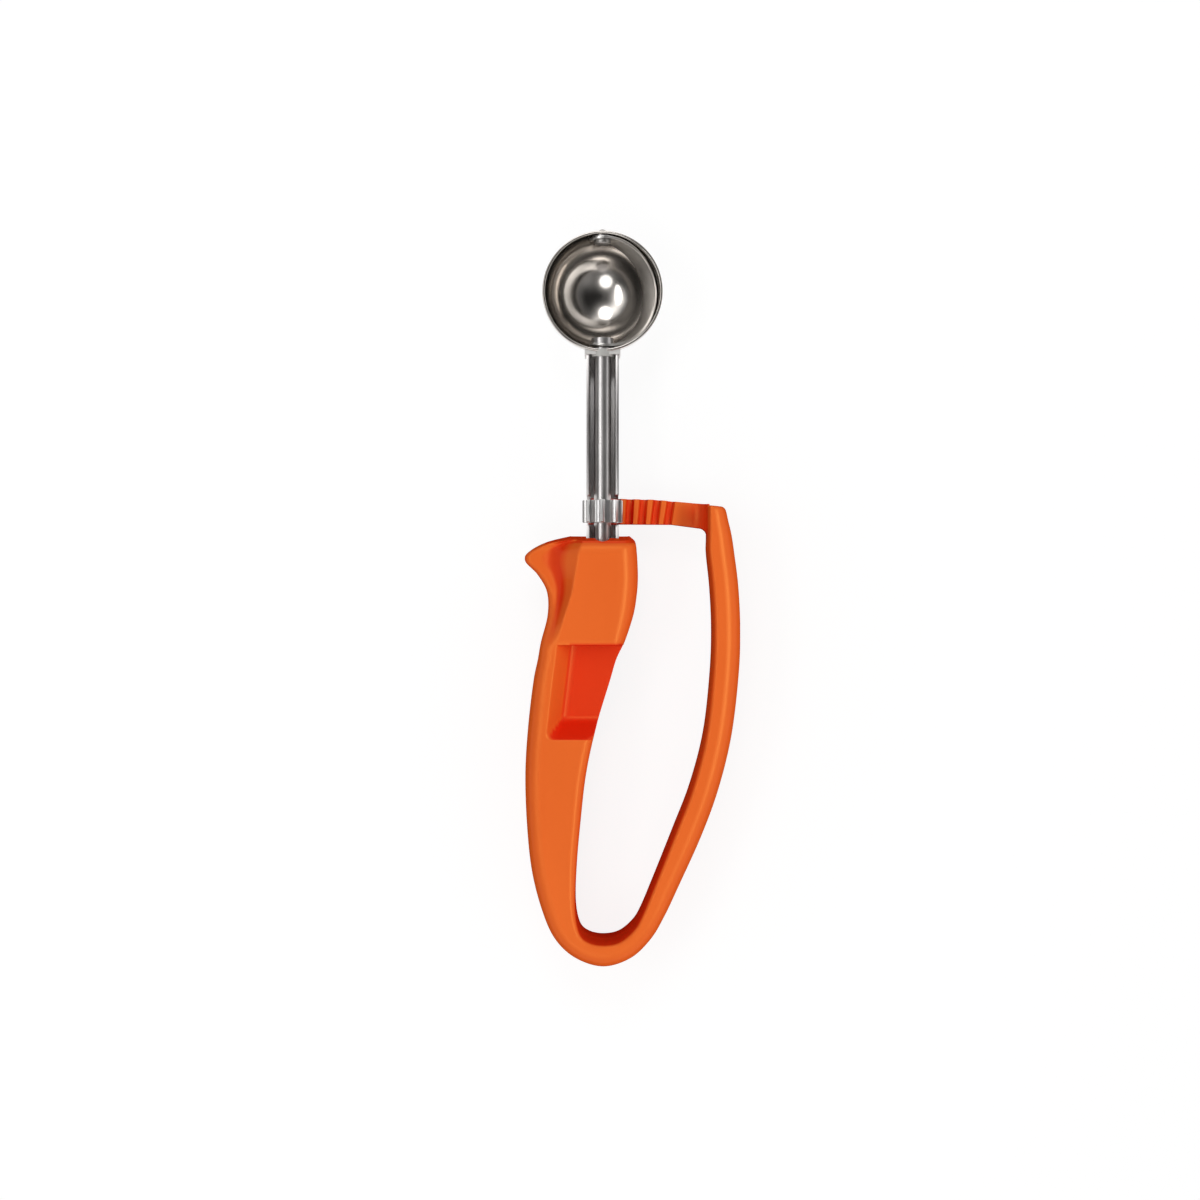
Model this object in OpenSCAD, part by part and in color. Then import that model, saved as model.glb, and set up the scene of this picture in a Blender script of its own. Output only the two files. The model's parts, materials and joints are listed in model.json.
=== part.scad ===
// Small squeeze disher with a one-piece moulded handle.
// The drawing frame of every module has its origin where the shank's axis leaves the handle:
// +Y runs up the shank to the bowl, +Z is the side that the bowl opens to, and +X is the lever's side.
// lie_down() then sets the whole scoop on a table, bowl opening up.

/* [Bowl] */
// Outside radius of the half-sphere
bowl_r = 16; // [15.8:0.1:16.4]
// Thickness of the spun sheet
bowl_wall = 0.75; // [0.6:0.05:0.8]
// Height of the straight rim above the scraper's axis
rim_h = 2.8; // [2.2:0.1:3.4]
// Distance from the handle's top to the bowl's centre
bowl_y = 65.4; // [64:0.2:68]

/* [Scraper] */
// Width of the strip
blade_w = 6.8; // [6:0.2:7]
// Thickness of the strip
blade_t = 0.6; // [0.5:0.1:0.7]
// Gap between the strip's corners and the bowl
blade_gap = 0.25; // [0.2:0.05:0.35]
// Angle of the resting strip below the plane of the rod
rest_angle = 27; // [24:1:28]

/* [Shank] */
// Outside width of the folded channel
shank_w = 8.6; // [8.3:0.1:8.7]
// Thickness of the folded sheet
shank_t = 0.8; // [0.7:0.1:0.9]
// Outside radius of its folds
fold_r = 1; // [1:0.1:1.2]
// Depth of the channel's back behind the rod's axis
shank_back = 9.2; // [9.1:0.1:9.4]
// Height of the channel's legs in front of the rod's axis
shank_front = 2; // [1.5:0.1:2.4]
// Length of the channel inside the handle
shank_in = 26; // [22:1:27]

/* [Drive] */
// Radius of the rod
rod_r = 2.25; // [2.1:0.05:2.3]
// Radial running clearance of the rod in its bushes
rod_fit = 0.05; // [0.03:0.01:0.08]
// Gear module
gear_module = 1.125; // [1.1:0.005:1.13]
// Face width of the pinion
pinion_face = 6; // [5.6:0.1:6.2]
// Distance from the handle's top to the middle of the pinion
pinion_y = 7.06; // [6.9:0.02:7.2]
// Angle of the front tooth to the right of the middle at rest
front_tooth = -1; // [-8:1:8]

/* [Handle] */
// Half of the handle's thickness
handle_h = 11; // [10.6:0.1:11.4]
// Depth of the finger pocket in each face
pocket_depth = 7; // [5:0.5:7]
// Radius of the pocket's lower corner in the face
pocket_r = 2.2; // [1.5:0.1:2.6]
// How far the pocket's left wall leans out from floor to face
pocket_slope = 3.5; // [2:0.1:3.8]
// How far the pocket's lower wall leans out from floor to face
pocket_ramp = 5.2; // [3:0.1:5.6]

/* [Hidden] */
$fn = 96;

plastic = "orangered";
steel = "silver";
bright_steel = "gainsboro";
nylon = "whitesmoke";

// Past a face that a cut goes through
over = 1;
// Side clearance of fixed pieces that slide into each other
slip = 0.05;
// Thickness of an outline that a hull joins to another one
leaf = 0.01;

// ---- Gearing: the pinion rolls on a rack whose teeth lie on a circle about the bow's hinge ----
pinion_teeth = 8;
crown_teeth = 204;
pinion_r = gear_module * pinion_teeth / 2;
hinge_y = pinion_y - gear_module * crown_teeth / 2;
tooth_pitch = PI * gear_module;
pressure_angle = 20;
base_r = pinion_r * cos(pressure_angle);
tip_r = pinion_r + 0.9;
root_r = pinion_r - 1.05;
// Thinning of the pinion's teeth, for a loose mesh that a bending bow needs
tooth_thin = 0.25;
tooth_steps = 4;
// Heights of the rack's teeth over and under its pitch plane
rack_top = 0.65;
rack_root = 1.15;
gap_spread = 0.1;
rack_back = 8;
// Tooth gaps to the left and right of the shank's axis
first_gap = -1;
last_gap = 5;
// Outline of the toothed arm: its free end, its root on the lever, and its two long edges
rack_end_x = -3.9;
rack_root_x = 28;
rack_edge_top = [10.8, 9.1];
rack_edge_low = [3.9, 2.8];
// Where its long edges turn towards the lever
rack_bend_top = [14, 10.4];
rack_bend_low = [18.6, 3.75];
rack_fillet = 2.2;
// Hollow corner between the arm's face and the lever
gusset_r = 4;

// ---- Places along the rod ----
bush_top_y = -1.8;
bush_len = 8;
notch_low_y = 3.4;
notch_high_y = 11.5;
washer_t = 0.5;
washer_r = 3.1;
play = 0.1;
pinion_low_y = pinion_y - pinion_face / 2;
lower_washer_y = bush_top_y - bush_len - play - washer_t;
ring_t = 0.6;
ring_y = lower_washer_y - play - ring_t;
groove_r = rod_r - 0.45;
rod_low_y = ring_y - 0.9;

// ---- Bowl end ----
bowl_in_r = bowl_r - bowl_wall;
blade_r = sqrt(pow(bowl_in_r - blade_gap, 2) - pow(blade_w / 2, 2));
blade_in_r = blade_r - blade_t;
blade_low_y = bowl_y - blade_r;
blade_high_y = bowl_y + blade_r;
spigot_r = 1.5;
blade_hub_r = 3;
blade_hub_len = 1.7;
rod_stand = 0.3;
collar_w = 9.5;
collar_y = bowl_y - bowl_r - 0.7;
collar_back = shank_back + 0.3;
collar_front = shank_front + 0.4;
collar_reach = 5;
bush_r = 3;
bush_stand = 0.5;
tip_pin_r = 1.25;
tip_head_r = 2.2;
tip_head_t = 1.2;
tip_stand = 0.8;
tip_washer_r = 2.6;
tip_washer_t = 0.3;

// ---- Shank in the handle ----
cavity_w = shank_w - 2 * shank_t;
socket_front = 3.5;
// Relief for the rod in the front of the handle's top
mouth_y = 1.2;
mouth_r = 2.4;
bush_w = cavity_w - 2 * slip;
bush_front = 3.3;
shank_pin_r = 1.5;
shank_pin_y = -17;
shank_pin_z = -3.2;
shank_pin_x = [-7.5, 8.3];

// ---- Finger pocket: ends of its left edge in the face ----
pocket_top = [-11.9, -28.2];
pocket_low = [-14.8, -53.1];
// Radius of its corner in the floor
floor_r = 1.2;

// ---- Handle: cross-sections along the moulding, from the thumb hook round the bow to the rack ----
// Each is [outer x, outer y, inner x, inner y, half thickness, outer edge radius, inner edge radius,
// depth of the thumb scoop at the outer edge, width of the scoop]
BODY = [
  [ -8.6,    0.5,   7.2,    0.5,  9.4, 1.2, 2.4, 2.5, 3.4],
  [-14.9,   -1.1,   8.7,   -1.0, 10.6, 1.6, 3.6, 6.0, 9.2],
  [-19.5,   -3.6,   9.0,   -3.6, 11.0, 1.8, 4.2, 6.4, 13.3],
  [-20.5,   -6.2,   9.2,   -6.8, 11.0, 1.8, 4.2, 6.4, 13.9],
  [-17.2,   -9.8,   9.3,  -11.0, 11.0, 1.8, 4.2, 6.2, 9.9],
  [-14.7,  -14.4,   9.0,  -15.2, 11.0, 1.9, 4.2, 5.6, 6.6],
  [-14.5,  -20.5,   8.1,  -20.5, 11.0, 2.2, 4.0, 3.6, 4.6],
  [-16.2,  -27.5,   5.8,  -27.5, 11.0, 3.0, 3.2, 0.9, 4.2],
  [-17.0,  -32.0,   3.7,  -32.0, 11.0, 3.8, 2.6, 0.2, 4.2],
  [-18.2,  -38.0,   1.9,  -38.0, 11.0, 4.1, 2.4, 0.0, 4.2],
  [-19.6,  -50.0,  -1.7,  -50.0, 11.0, 4.4, 2.4, 0.0, 4.6],
  [-20.3,  -62.0,  -4.3,  -62.0, 11.0, 4.2, 2.4, 0.0, 4.4],
  [-19.9,  -75.0,  -5.8,  -75.0, 11.0, 4.0, 2.3, 0.0, 4.2],
  [-18.6,  -87.5,  -6.9,  -87.5, 11.0, 4.0, 2.0, 0.0, 4.2]
];
BOW = [
  [-15.9,  -98.0,  -7.2,  -97.5, 11.0, 3.8, 1.4, 0.0, 4.0],
  [-12.5, -105.5,  -6.1, -103.6, 11.0, 3.6, 1.0, 0.0, 3.8],
  [ -7.1, -110.5,  -3.7, -106.0, 11.0, 3.6, 1.0, 0.0, 3.8],
  [  0.2, -112.7,   0.2, -106.8, 11.0, 3.6, 1.0, 0.0, 3.8],
  [  7.4, -110.5,   4.4, -106.0, 11.0, 3.6, 1.0, 0.0, 3.8],
  [ 12.7, -105.5,   7.9, -103.2, 11.0, 3.6, 1.0, 0.0, 3.8]
];
LEVER = [
  [ 16.3,  -99.5,  10.1,  -99.8, 11.0, 3.8, 1.0, 0.0, 4.0],
  [ 20.0,  -91.7,  13.4,  -92.0, 11.0, 4.0, 1.0, 0.0, 4.2],
  [ 26.0,  -78.4,  19.0,  -78.0, 11.0, 4.0, 1.0, 0.0, 4.2],
  [ 30.5,  -66.0,  23.6,  -66.0, 11.0, 4.0, 1.0, 0.0, 4.2],
  [ 33.9,  -52.0,  27.2,  -52.0, 11.0, 4.0, 1.0, 0.0, 4.2],
  [ 35.8,  -36.0,  29.0,  -36.0, 11.0, 4.0, 1.0, 0.0, 4.2],
  [ 36.2,  -24.0,  29.4,  -24.0, 11.0, 4.0, 1.0, 0.0, 4.2],
  [ 35.7,  -13.0,  28.9,  -13.0, 11.0, 4.0, 1.0, 0.0, 4.2],
  [ 34.6,   -4.0,  28.0,   -4.0, 11.0, 4.0, 0.8, 0.0, 4.2],
  [ 33.9,    0.6,  28.0,    0.0, 11.0, 3.8, 0.8, 0.0, 4.0],
  [ 33.1,    4.0,  28.0,    4.3, 11.0, 3.6, 0.8, 0.0, 3.8],
  [ 32.5,    6.6,  28.0,    7.0, 10.9, 3.3, 0.7, 0.0, 3.5],
  [ 32.1,    7.5,  28.0,    7.9, 10.7, 3.0, 0.6, 0.0, 3.2],
  [ 31.5,    7.95, 28.0,    8.25, 10.3, 2.4, 0.5, 0.0, 2.6]
];
RIM = concat(BODY, BOW, LEVER);
body_end = len(BODY) - 1;
bow_end = len(BODY) + len(BOW);
lever_end = len(RIM) - 1;
// Rings between two cross-sections, and points round one rounded edge
ring_steps = 3;
edge_steps = 3;
// Share of the thumb scoop's width that is level, and share at which its straight wall starts
scoop_level = 0.3;
scoop_wall = 0.65;

// ---- Resting on a table: the bowl's underside and the bow's back edge touch it ----
bow_bottom = BOW[3];
heel_r = bow_bottom[5];
heel_y = bow_bottom[1] + heel_r;
heel_z = heel_r - handle_h;
heel_gap = bowl_y - heel_y;
heel_run = norm([heel_gap, heel_z]);
pitch = asin((bowl_r - heel_r) / heel_run) - atan(-heel_z / heel_gap);
bowl_lift = bowl_r - bowl_y * sin(pitch);
middle_x = 7.791;
middle_y = -15.35;

module lie_down() {
  translate([-middle_x, -middle_y, bowl_lift])
    rotate([pitch, 0, 0])
      children();
}

// ---- Shapes used by more than one piece ----

// Round bar along +Y from y0 to y1
module bar_y(r, y0, y1, x = 0, z = 0) {
  translate([x, y1, z])
    rotate([90, 0, 0])
      cylinder(r = r, h = y1 - y0);
}

// Round bar along +X from x0 to x1
module bar_x(r, x0, x1, y = 0, z = 0) {
  translate([x0, y, z])
    rotate([0, 90, 0])
      cylinder(r = r, h = x1 - x0);
}

// Flat ring about the rod's axis
module ring_y(r, hole_r, y0, thick) {
  difference() {
    bar_y(r, y0, y0 + thick);
    bar_y(hole_r, y0 - over, y0 + thick + over);
  }
}

// Box between two corners
module block(low, high) {
  translate(low)
    cube(high - low);
}

// ---- Loft of the handle ----

function spline(a, b, c, d, t) =
  0.5 * (2 * b + (c - a) * t + (2 * a - 5 * b + 4 * c - d) * t * t
  + (3 * b - a - 3 * c + d) * t * t * t);

// Cross-section at place s along RIM, where whole numbers are the listed ones
function section_at(s) =
  let (i = min(floor(s), lever_end - 1))
  spline(RIM[max(i - 1, 0)], RIM[i], RIM[i + 1], RIM[min(i + 2, lever_end)], s - i);

// How far a rounded edge of radius r has dropped at distance d from the side
function edge_drop(d, r) = d >= r ? 0 : r - sqrt(max(r * r - (r - d) * (r - d), 0));

// Depth of the thumb scoop at share u of its width: level, then a hollow corner, then a straight wall
function scoop_drop(u) =
  let (rise = 1 / (1 - (scoop_level + scoop_wall) / 2))
  u <= scoop_level ? 1
  : u >= 1 ? 0
  : u >= scoop_wall ? (1 - u) * rise
  : 1 - rise * pow(u - scoop_level, 2) / 2 / (scoop_wall - scoop_level);

function face_z(c, w, d) =
  c[4] - edge_drop(d, c[5]) - edge_drop(w - d, c[6]) - c[7] * scoop_drop(d / c[8]);

// Distances from the outer side at which a cross-section has its points
function face_steps(c, w) =
  let (level = max(c[5], scoop_level * c[8]), wall = max(level, scoop_wall * c[8]))
  concat(
    [for (k = [0 : edge_steps]) c[5] * (1 - cos(90 * k / edge_steps))],
    [level + 0.02, (level + wall) / 2 + 0.04, wall + 0.06, max(c[8], wall) + 0.08],
    [for (k = [edge_steps : -1 : 0]) w - c[6] * (1 - cos(90 * k / edge_steps))]
  );

function section_ring(c) =
  let (
    outer = [c[0], c[1]],
    w = norm([c[2] - c[0], c[3] - c[1]]),
    dir = [c[2] - c[0], c[3] - c[1]] / w,
    steps = face_steps(c, w),
    n = len(steps)
  )
  concat(
    [for (k = [0 : n - 1]) [outer[0] + dir[0] * steps[k], outer[1] + dir[1] * steps[k],
      face_z(c, w, steps[k])]],
    [for (k = [n - 1 : -1 : 0]) [outer[0] + dir[0] * steps[k], outer[1] + dir[1] * steps[k],
      -face_z(c, w, steps[k])]]
  );

// Solid between two places along RIM
module loft(first, last) {
  rings = [for (j = [0 : (last - first) * ring_steps]) section_ring(section_at(first + j / ring_steps))];
  n = len(rings[0]);
  m = len(rings);
  sides = [
    for (j = [0 : m - 2], k = [0 : n - 1])
      let (a = j * n + k, b = j * n + (k + 1) % n)
      each [[a, b, b + n], [a, b + n, a + n]]
  ];
  start_cap = [for (k = [n - 1 : -1 : 0]) k];
  end_cap = [for (k = [0 : n - 1]) (m - 1) * n + k];
  polyhedron(points = [for (ring = rings) each ring], faces = concat([start_cap], sides, [end_cap]));
}

// ---- Fixed leg of the handle ----

// Thin slice of the finger pocket at height z, its left and lower walls pulled in
module pocket_slice(z, left_in, low_in, corner_r) {
  open_x = 14;
  low_y = pocket_low[1] + low_in;
  translate([0, 0, z])
    linear_extrude(leaf) {
      translate([pocket_low[0] + left_in + corner_r, low_y + corner_r])
        circle(r = corner_r);
      polygon([
        [pocket_top[0] + left_in, pocket_top[1]],
        [pocket_low[0] + left_in + corner_r, low_y],
        [open_x, low_y],
        [open_x, pocket_top[1]]
      ]);
    }
}

// Finger pocket in the front face, open to the side that faces the lever
module finger_pocket() {
  floor_z = handle_h - pocket_depth;
  above = over / pocket_depth;
  hull() {
    pocket_slice(floor_z, pocket_slope, pocket_ramp, floor_r);
    pocket_slice(handle_h + over, -pocket_slope * above, -pocket_ramp * above, pocket_r);
  }
}

module shank_socket() {
  half = shank_w / 2 + slip;
  block([-half, -shank_in - slip, -shank_back - slip], [half, 2, socket_front]);
  block([-mouth_r, mouth_y, 0], [mouth_r, 2, handle_h + over]);
  translate([0, mouth_y, 0])
    cylinder(r = mouth_r, h = handle_h + over);
}

module handle_body() {
  color(plastic)
    difference() {
      loft(0, body_end);
      shank_socket();
      finger_pocket();
      mirror([0, 0, 1])
        finger_pocket();
      bar_x(shank_pin_r, shank_pin_x[0], 14, shank_pin_y, shank_pin_z);
    }
}

module flex_bow() {
  color(plastic)
    loft(body_end, bow_end);
}

module squeeze_lever() {
  color(plastic)
    loft(bow_end, lever_end);
}

// ---- Toothed arm ----

// Gap between two rack teeth, cut across the arm; place 0 is the gap over the shank's axis
module rack_gap(place) {
  angle = 360 / crown_teeth * (place - front_tooth * pinion_teeth / 360);
  half = tooth_pitch / 4 + gap_spread;
  lean = tan(pressure_angle);
  translate([0, hinge_y, -pinion_r])
    rotate([0, 0, -angle])
      translate([0, pinion_y - hinge_y + pinion_face, 0])
        rotate([90, 0, 0])
          linear_extrude(2 * pinion_face)
            polygon([
              [-half + lean * rack_root, -rack_root],
              [half - lean * rack_root, -rack_root],
              [half + lean * over, over],
              [-half - lean * over, over]
            ]);
}

module gear_rack() {
  face_z = rack_top - pinion_r;
  gusset_x = rack_root_x - gusset_r;
  color(plastic)
    difference() {
      translate([0, 0, -rack_back])
        linear_extrude(rack_back + face_z + gusset_r)
          difference() {
            polygon([
              [rack_end_x, rack_edge_low[0]],
              rack_bend_low,
              [rack_root_x - rack_fillet, rack_edge_low[1]],
              [rack_root_x, rack_edge_low[1] - rack_fillet],
              [rack_root_x, rack_edge_top[1]],
              rack_bend_top,
              [rack_end_x + 1, rack_edge_top[0]],
              [rack_end_x, rack_edge_top[0] - 1]
            ]);
            translate([rack_root_x - rack_fillet, rack_edge_low[1] - rack_fillet])
              circle(r = rack_fillet);
          }
      block([rack_end_x - over, 0, face_z], [gusset_x, rack_edge_top[0] + over, face_z + gusset_r + over]);
      bar_y(gusset_r, 0, rack_edge_top[0] + over, gusset_x, face_z + gusset_r);
      for (place = [first_gap : last_gap])
        rack_gap(place);
    }
}

// ---- Shank ----

// Bar along +Y between y0 and y1, its two back edges rounded
module folded_bar(half, back, front, r, y0, y1) {
  translate([0, y1, 0])
    rotate([90, 0, 0])
      linear_extrude(y1 - y0) {
        for (x = [-half + r, half - r])
          translate([x, back + r])
            circle(r = r);
        polygon([[-half + r, back], [half - r, back], [half, back + r], [half, front], [-half, front],
          [-half, back + r]]);
      }
}

module shank_channel() {
  half = shank_w / 2;
  back = shank_t - shank_back;
  color(steel)
    difference() {
      folded_bar(half, -shank_back, shank_front, fold_r, -shank_in, collar_y);
      folded_bar(cavity_w / 2, back, shank_front + over, fold_r - shank_t, -shank_in - over, collar_y + over);
      block([-half - over, notch_low_y, back], [half + over, notch_high_y, shank_front + over]);
      bar_x(shank_pin_r, -half - over, half + over, shank_pin_y, shank_pin_z);
    }
}

module shank_pin() {
  color(steel)
    bar_x(shank_pin_r, shank_pin_x[0], shank_pin_x[1], shank_pin_y, shank_pin_z);
}

module lower_bush() {
  color(nylon)
    difference() {
      folded_bar(bush_w / 2, shank_t - shank_back, bush_front, fold_r, bush_top_y - bush_len, bush_top_y);
      bar_y(rod_r + rod_fit, bush_top_y - bush_len - over, bush_top_y + over);
    }
}

// ---- Bowl ----

// Half-sphere with a straight rim, as a solid of radius r about the bowl's centre
module dish(r, top) {
  translate([0, bowl_y, 0])
    rotate_extrude()
      union() {
        intersection() {
          circle(r = r);
          translate([0, -r])
            square([r, r]);
        }
        square([r, top]);
      }
}

module bowl() {
  color(bright_steel)
    difference() {
      dish(bowl_r, rim_h);
      dish(bowl_in_r, rim_h + over);
      bar_y(bush_r, bowl_y - bowl_r - over, bowl_y - bowl_in_r + over);
      bar_y(tip_pin_r + rod_fit, bowl_y + bowl_in_r - over, bowl_y + bowl_r + over);
    }
}

module bowl_collar() {
  color(bright_steel)
    difference() {
      folded_bar(collar_w / 2, -collar_back, collar_front, fold_r, collar_y, collar_y + collar_reach);
      dish(bowl_r, rim_h + over);
      bar_y(bush_r, collar_y - over, collar_y + collar_reach);
    }
}

module upper_bush() {
  color(nylon)
    difference() {
      bar_y(bush_r, collar_y - bush_stand, bowl_y - bowl_in_r);
      bar_y(rod_r + rod_fit, collar_y - bush_stand - over, bowl_y - bowl_in_r + over);
    }
}

// ---- Rod and pinion ----

module drive_rod() {
  color(steel)
    union() {
      bar_y(rod_r, rod_low_y, ring_y);
      bar_y(groove_r, ring_y, ring_y + ring_t);
      bar_y(rod_r, ring_y + ring_t, blade_low_y - slip);
      bar_y(spigot_r, blade_low_y - slip, blade_low_y + blade_t + blade_hub_len + rod_stand);
    }
}

function tooth_angle(r) =
  let (a = acos(min(base_r / r, 1)))
  (tooth_pitch / 2 - tooth_thin) / 2 / pinion_r * 180 / PI
  + (tan(pressure_angle) * 180 / PI - pressure_angle)
  - (tan(a) * 180 / PI - a);

// Outline of the pinion, with its teeth counted from the front one
function pinion_outline() = [
  for (k = [0 : pinion_teeth - 1])
    let (middle = front_tooth + 360 / pinion_teeth * k)
    each concat(
      [[root_r, middle - tooth_angle(base_r)]],
      [for (j = [0 : tooth_steps]) let (r = base_r + (tip_r - base_r) * j / tooth_steps)
        [r, middle - tooth_angle(r)]],
      [for (j = [tooth_steps : -1 : 0]) let (r = base_r + (tip_r - base_r) * j / tooth_steps)
        [r, middle + tooth_angle(r)]],
      [[root_r, middle + tooth_angle(base_r)]]
    )
];

module pinion() {
  color(bright_steel)
    difference() {
      translate([0, pinion_low_y + pinion_face, 0])
        rotate([90, 0, 0])
          linear_extrude(pinion_face)
            polygon([for (p = pinion_outline()) p[0] * [sin(p[1]), cos(p[1])]]);
      bar_y(rod_r, pinion_low_y - over, pinion_low_y + pinion_face + over);
    }
}

module upper_washer() {
  color(bright_steel)
    ring_y(washer_r, rod_r + rod_fit, bush_top_y, washer_t);
}

module lower_washer() {
  color(bright_steel)
    ring_y(washer_r, rod_r + rod_fit, lower_washer_y, washer_t);
}

// Clip with one open side, snapped into the rod's groove
module retaining_ring() {
  color(steel)
    difference() {
      ring_y(washer_r, groove_r, ring_y, ring_t);
      block([-groove_r * 0.8, ring_y - over, 0], [groove_r * 0.8, ring_y + ring_t + over, washer_r + over]);
    }
}

// ---- Scraper ----

// Turns a piece from the rim plane down to the resting angle of the strip
module at_rest() {
  rotate([0, rest_angle, 0])
    children();
}

module scraper_blade() {
  reach = bowl_r;
  color(bright_steel)
    at_rest()
      difference() {
        intersection() {
          translate([0, bowl_y, -blade_w / 2])
            difference() {
              cylinder(r = blade_r, h = blade_w);
              translate([0, 0, -over])
                cylinder(r = blade_in_r, h = blade_w + 2 * over);
            }
          union() {
            block([0, bowl_y - reach, -blade_w], [reach, bowl_y + reach, blade_w]);
            bar_y(blade_w / 2, bowl_y - reach, bowl_y + reach);
          }
        }
        bar_y(spigot_r, bowl_y - reach, bowl_y);
        bar_y(tip_pin_r, bowl_y, bowl_y + reach);
      }
}

// Solid round the bowl's centre that fits inside the strip's curve
module inside_strip() {
  translate([0, bowl_y, -blade_w])
    cylinder(r = blade_in_r, h = 2 * blade_w);
}

module blade_hub() {
  color(bright_steel)
    at_rest()
      difference() {
        intersection() {
          bar_y(blade_hub_r, blade_low_y, blade_low_y + blade_t + blade_hub_len);
          inside_strip();
        }
        bar_y(spigot_r, blade_low_y - over, blade_low_y + blade_t + blade_hub_len + over);
      }
}

module tip_pin() {
  stand_y = bowl_y + bowl_r + tip_stand;
  color(steel)
    at_rest() {
      union() {
        intersection() {
          bar_y(tip_head_r, blade_high_y - blade_t - tip_head_t, blade_high_y);
          inside_strip();
        }
        bar_y(tip_pin_r, blade_high_y - blade_t - tip_head_t, stand_y - tip_pin_r);
        translate([0, stand_y - tip_pin_r, 0])
          sphere(r = tip_pin_r);
      }
    }
}

module tip_washer() {
  color(bright_steel)
    ring_y(tip_washer_r, tip_pin_r, blade_high_y + 0.02, tip_washer_t);
}

lie_down() handle_body();
lie_down() flex_bow();
lie_down() squeeze_lever();
lie_down() gear_rack();
lie_down() shank_channel();
lie_down() shank_pin();
lie_down() bowl();
lie_down() bowl_collar();
lie_down() upper_bush();
lie_down() lower_bush();
lie_down() drive_rod();
lie_down() pinion();
lie_down() upper_washer();
lie_down() lower_washer();
lie_down() retaining_ring();
lie_down() scraper_blade();
lie_down() blade_hub();
lie_down() tip_pin();
lie_down() tip_washer();
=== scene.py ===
import json
import math
from collections import namedtuple

import bmesh
import bpy
import numpy as np
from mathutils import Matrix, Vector


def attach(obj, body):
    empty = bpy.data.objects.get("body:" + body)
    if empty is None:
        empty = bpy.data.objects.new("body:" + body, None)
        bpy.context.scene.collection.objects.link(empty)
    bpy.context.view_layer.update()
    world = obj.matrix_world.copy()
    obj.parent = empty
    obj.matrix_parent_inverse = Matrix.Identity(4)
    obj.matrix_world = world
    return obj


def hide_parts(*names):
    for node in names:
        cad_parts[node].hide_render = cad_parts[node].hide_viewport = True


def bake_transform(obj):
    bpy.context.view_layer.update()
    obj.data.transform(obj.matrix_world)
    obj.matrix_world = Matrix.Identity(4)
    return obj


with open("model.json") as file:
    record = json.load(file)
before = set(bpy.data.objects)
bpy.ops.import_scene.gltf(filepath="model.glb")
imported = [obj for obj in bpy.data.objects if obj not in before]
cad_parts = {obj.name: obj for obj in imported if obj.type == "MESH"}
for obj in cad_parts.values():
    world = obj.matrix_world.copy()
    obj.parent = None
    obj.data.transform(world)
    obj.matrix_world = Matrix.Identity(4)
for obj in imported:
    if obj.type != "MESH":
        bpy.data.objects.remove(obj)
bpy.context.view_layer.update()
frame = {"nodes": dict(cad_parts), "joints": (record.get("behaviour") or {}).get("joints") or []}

# --------------------------------------
# Handle. One injection moulding in orange polypropylene: the fixed leg with its thumb hook, the
# thin bow at the bottom that works as the spring, and the squeeze lever. It carries the steel
# shank in a socket, and a finger pocket is sunk in both faces.
# --------------------------------------

# The handle's own directions, from the joints: the shank's axis, the lever's pivot axis, and the
# side that the lever is on. Places are in millimetres from the top of the handle.
joints = {joint["name"]: joint for joint in frame["joints"]}
PINION_Y = 7.06
up_shank = Vector(joints["scraper_turn"]["axis"])
to_front = Vector(joints["lever_squeeze"]["axis"])
to_lever = up_shank.cross(to_front)
handle_top = Vector(joints["scraper_turn"]["pos_m"]) - up_shank * PINION_Y / 1000


def place(x, y, z):
    """A point in the row frame, from millimetres to the lever's side, up the shank and to the front."""
    return handle_top + (to_lever * x + up_shank * y + to_front * z) / 1000


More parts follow.
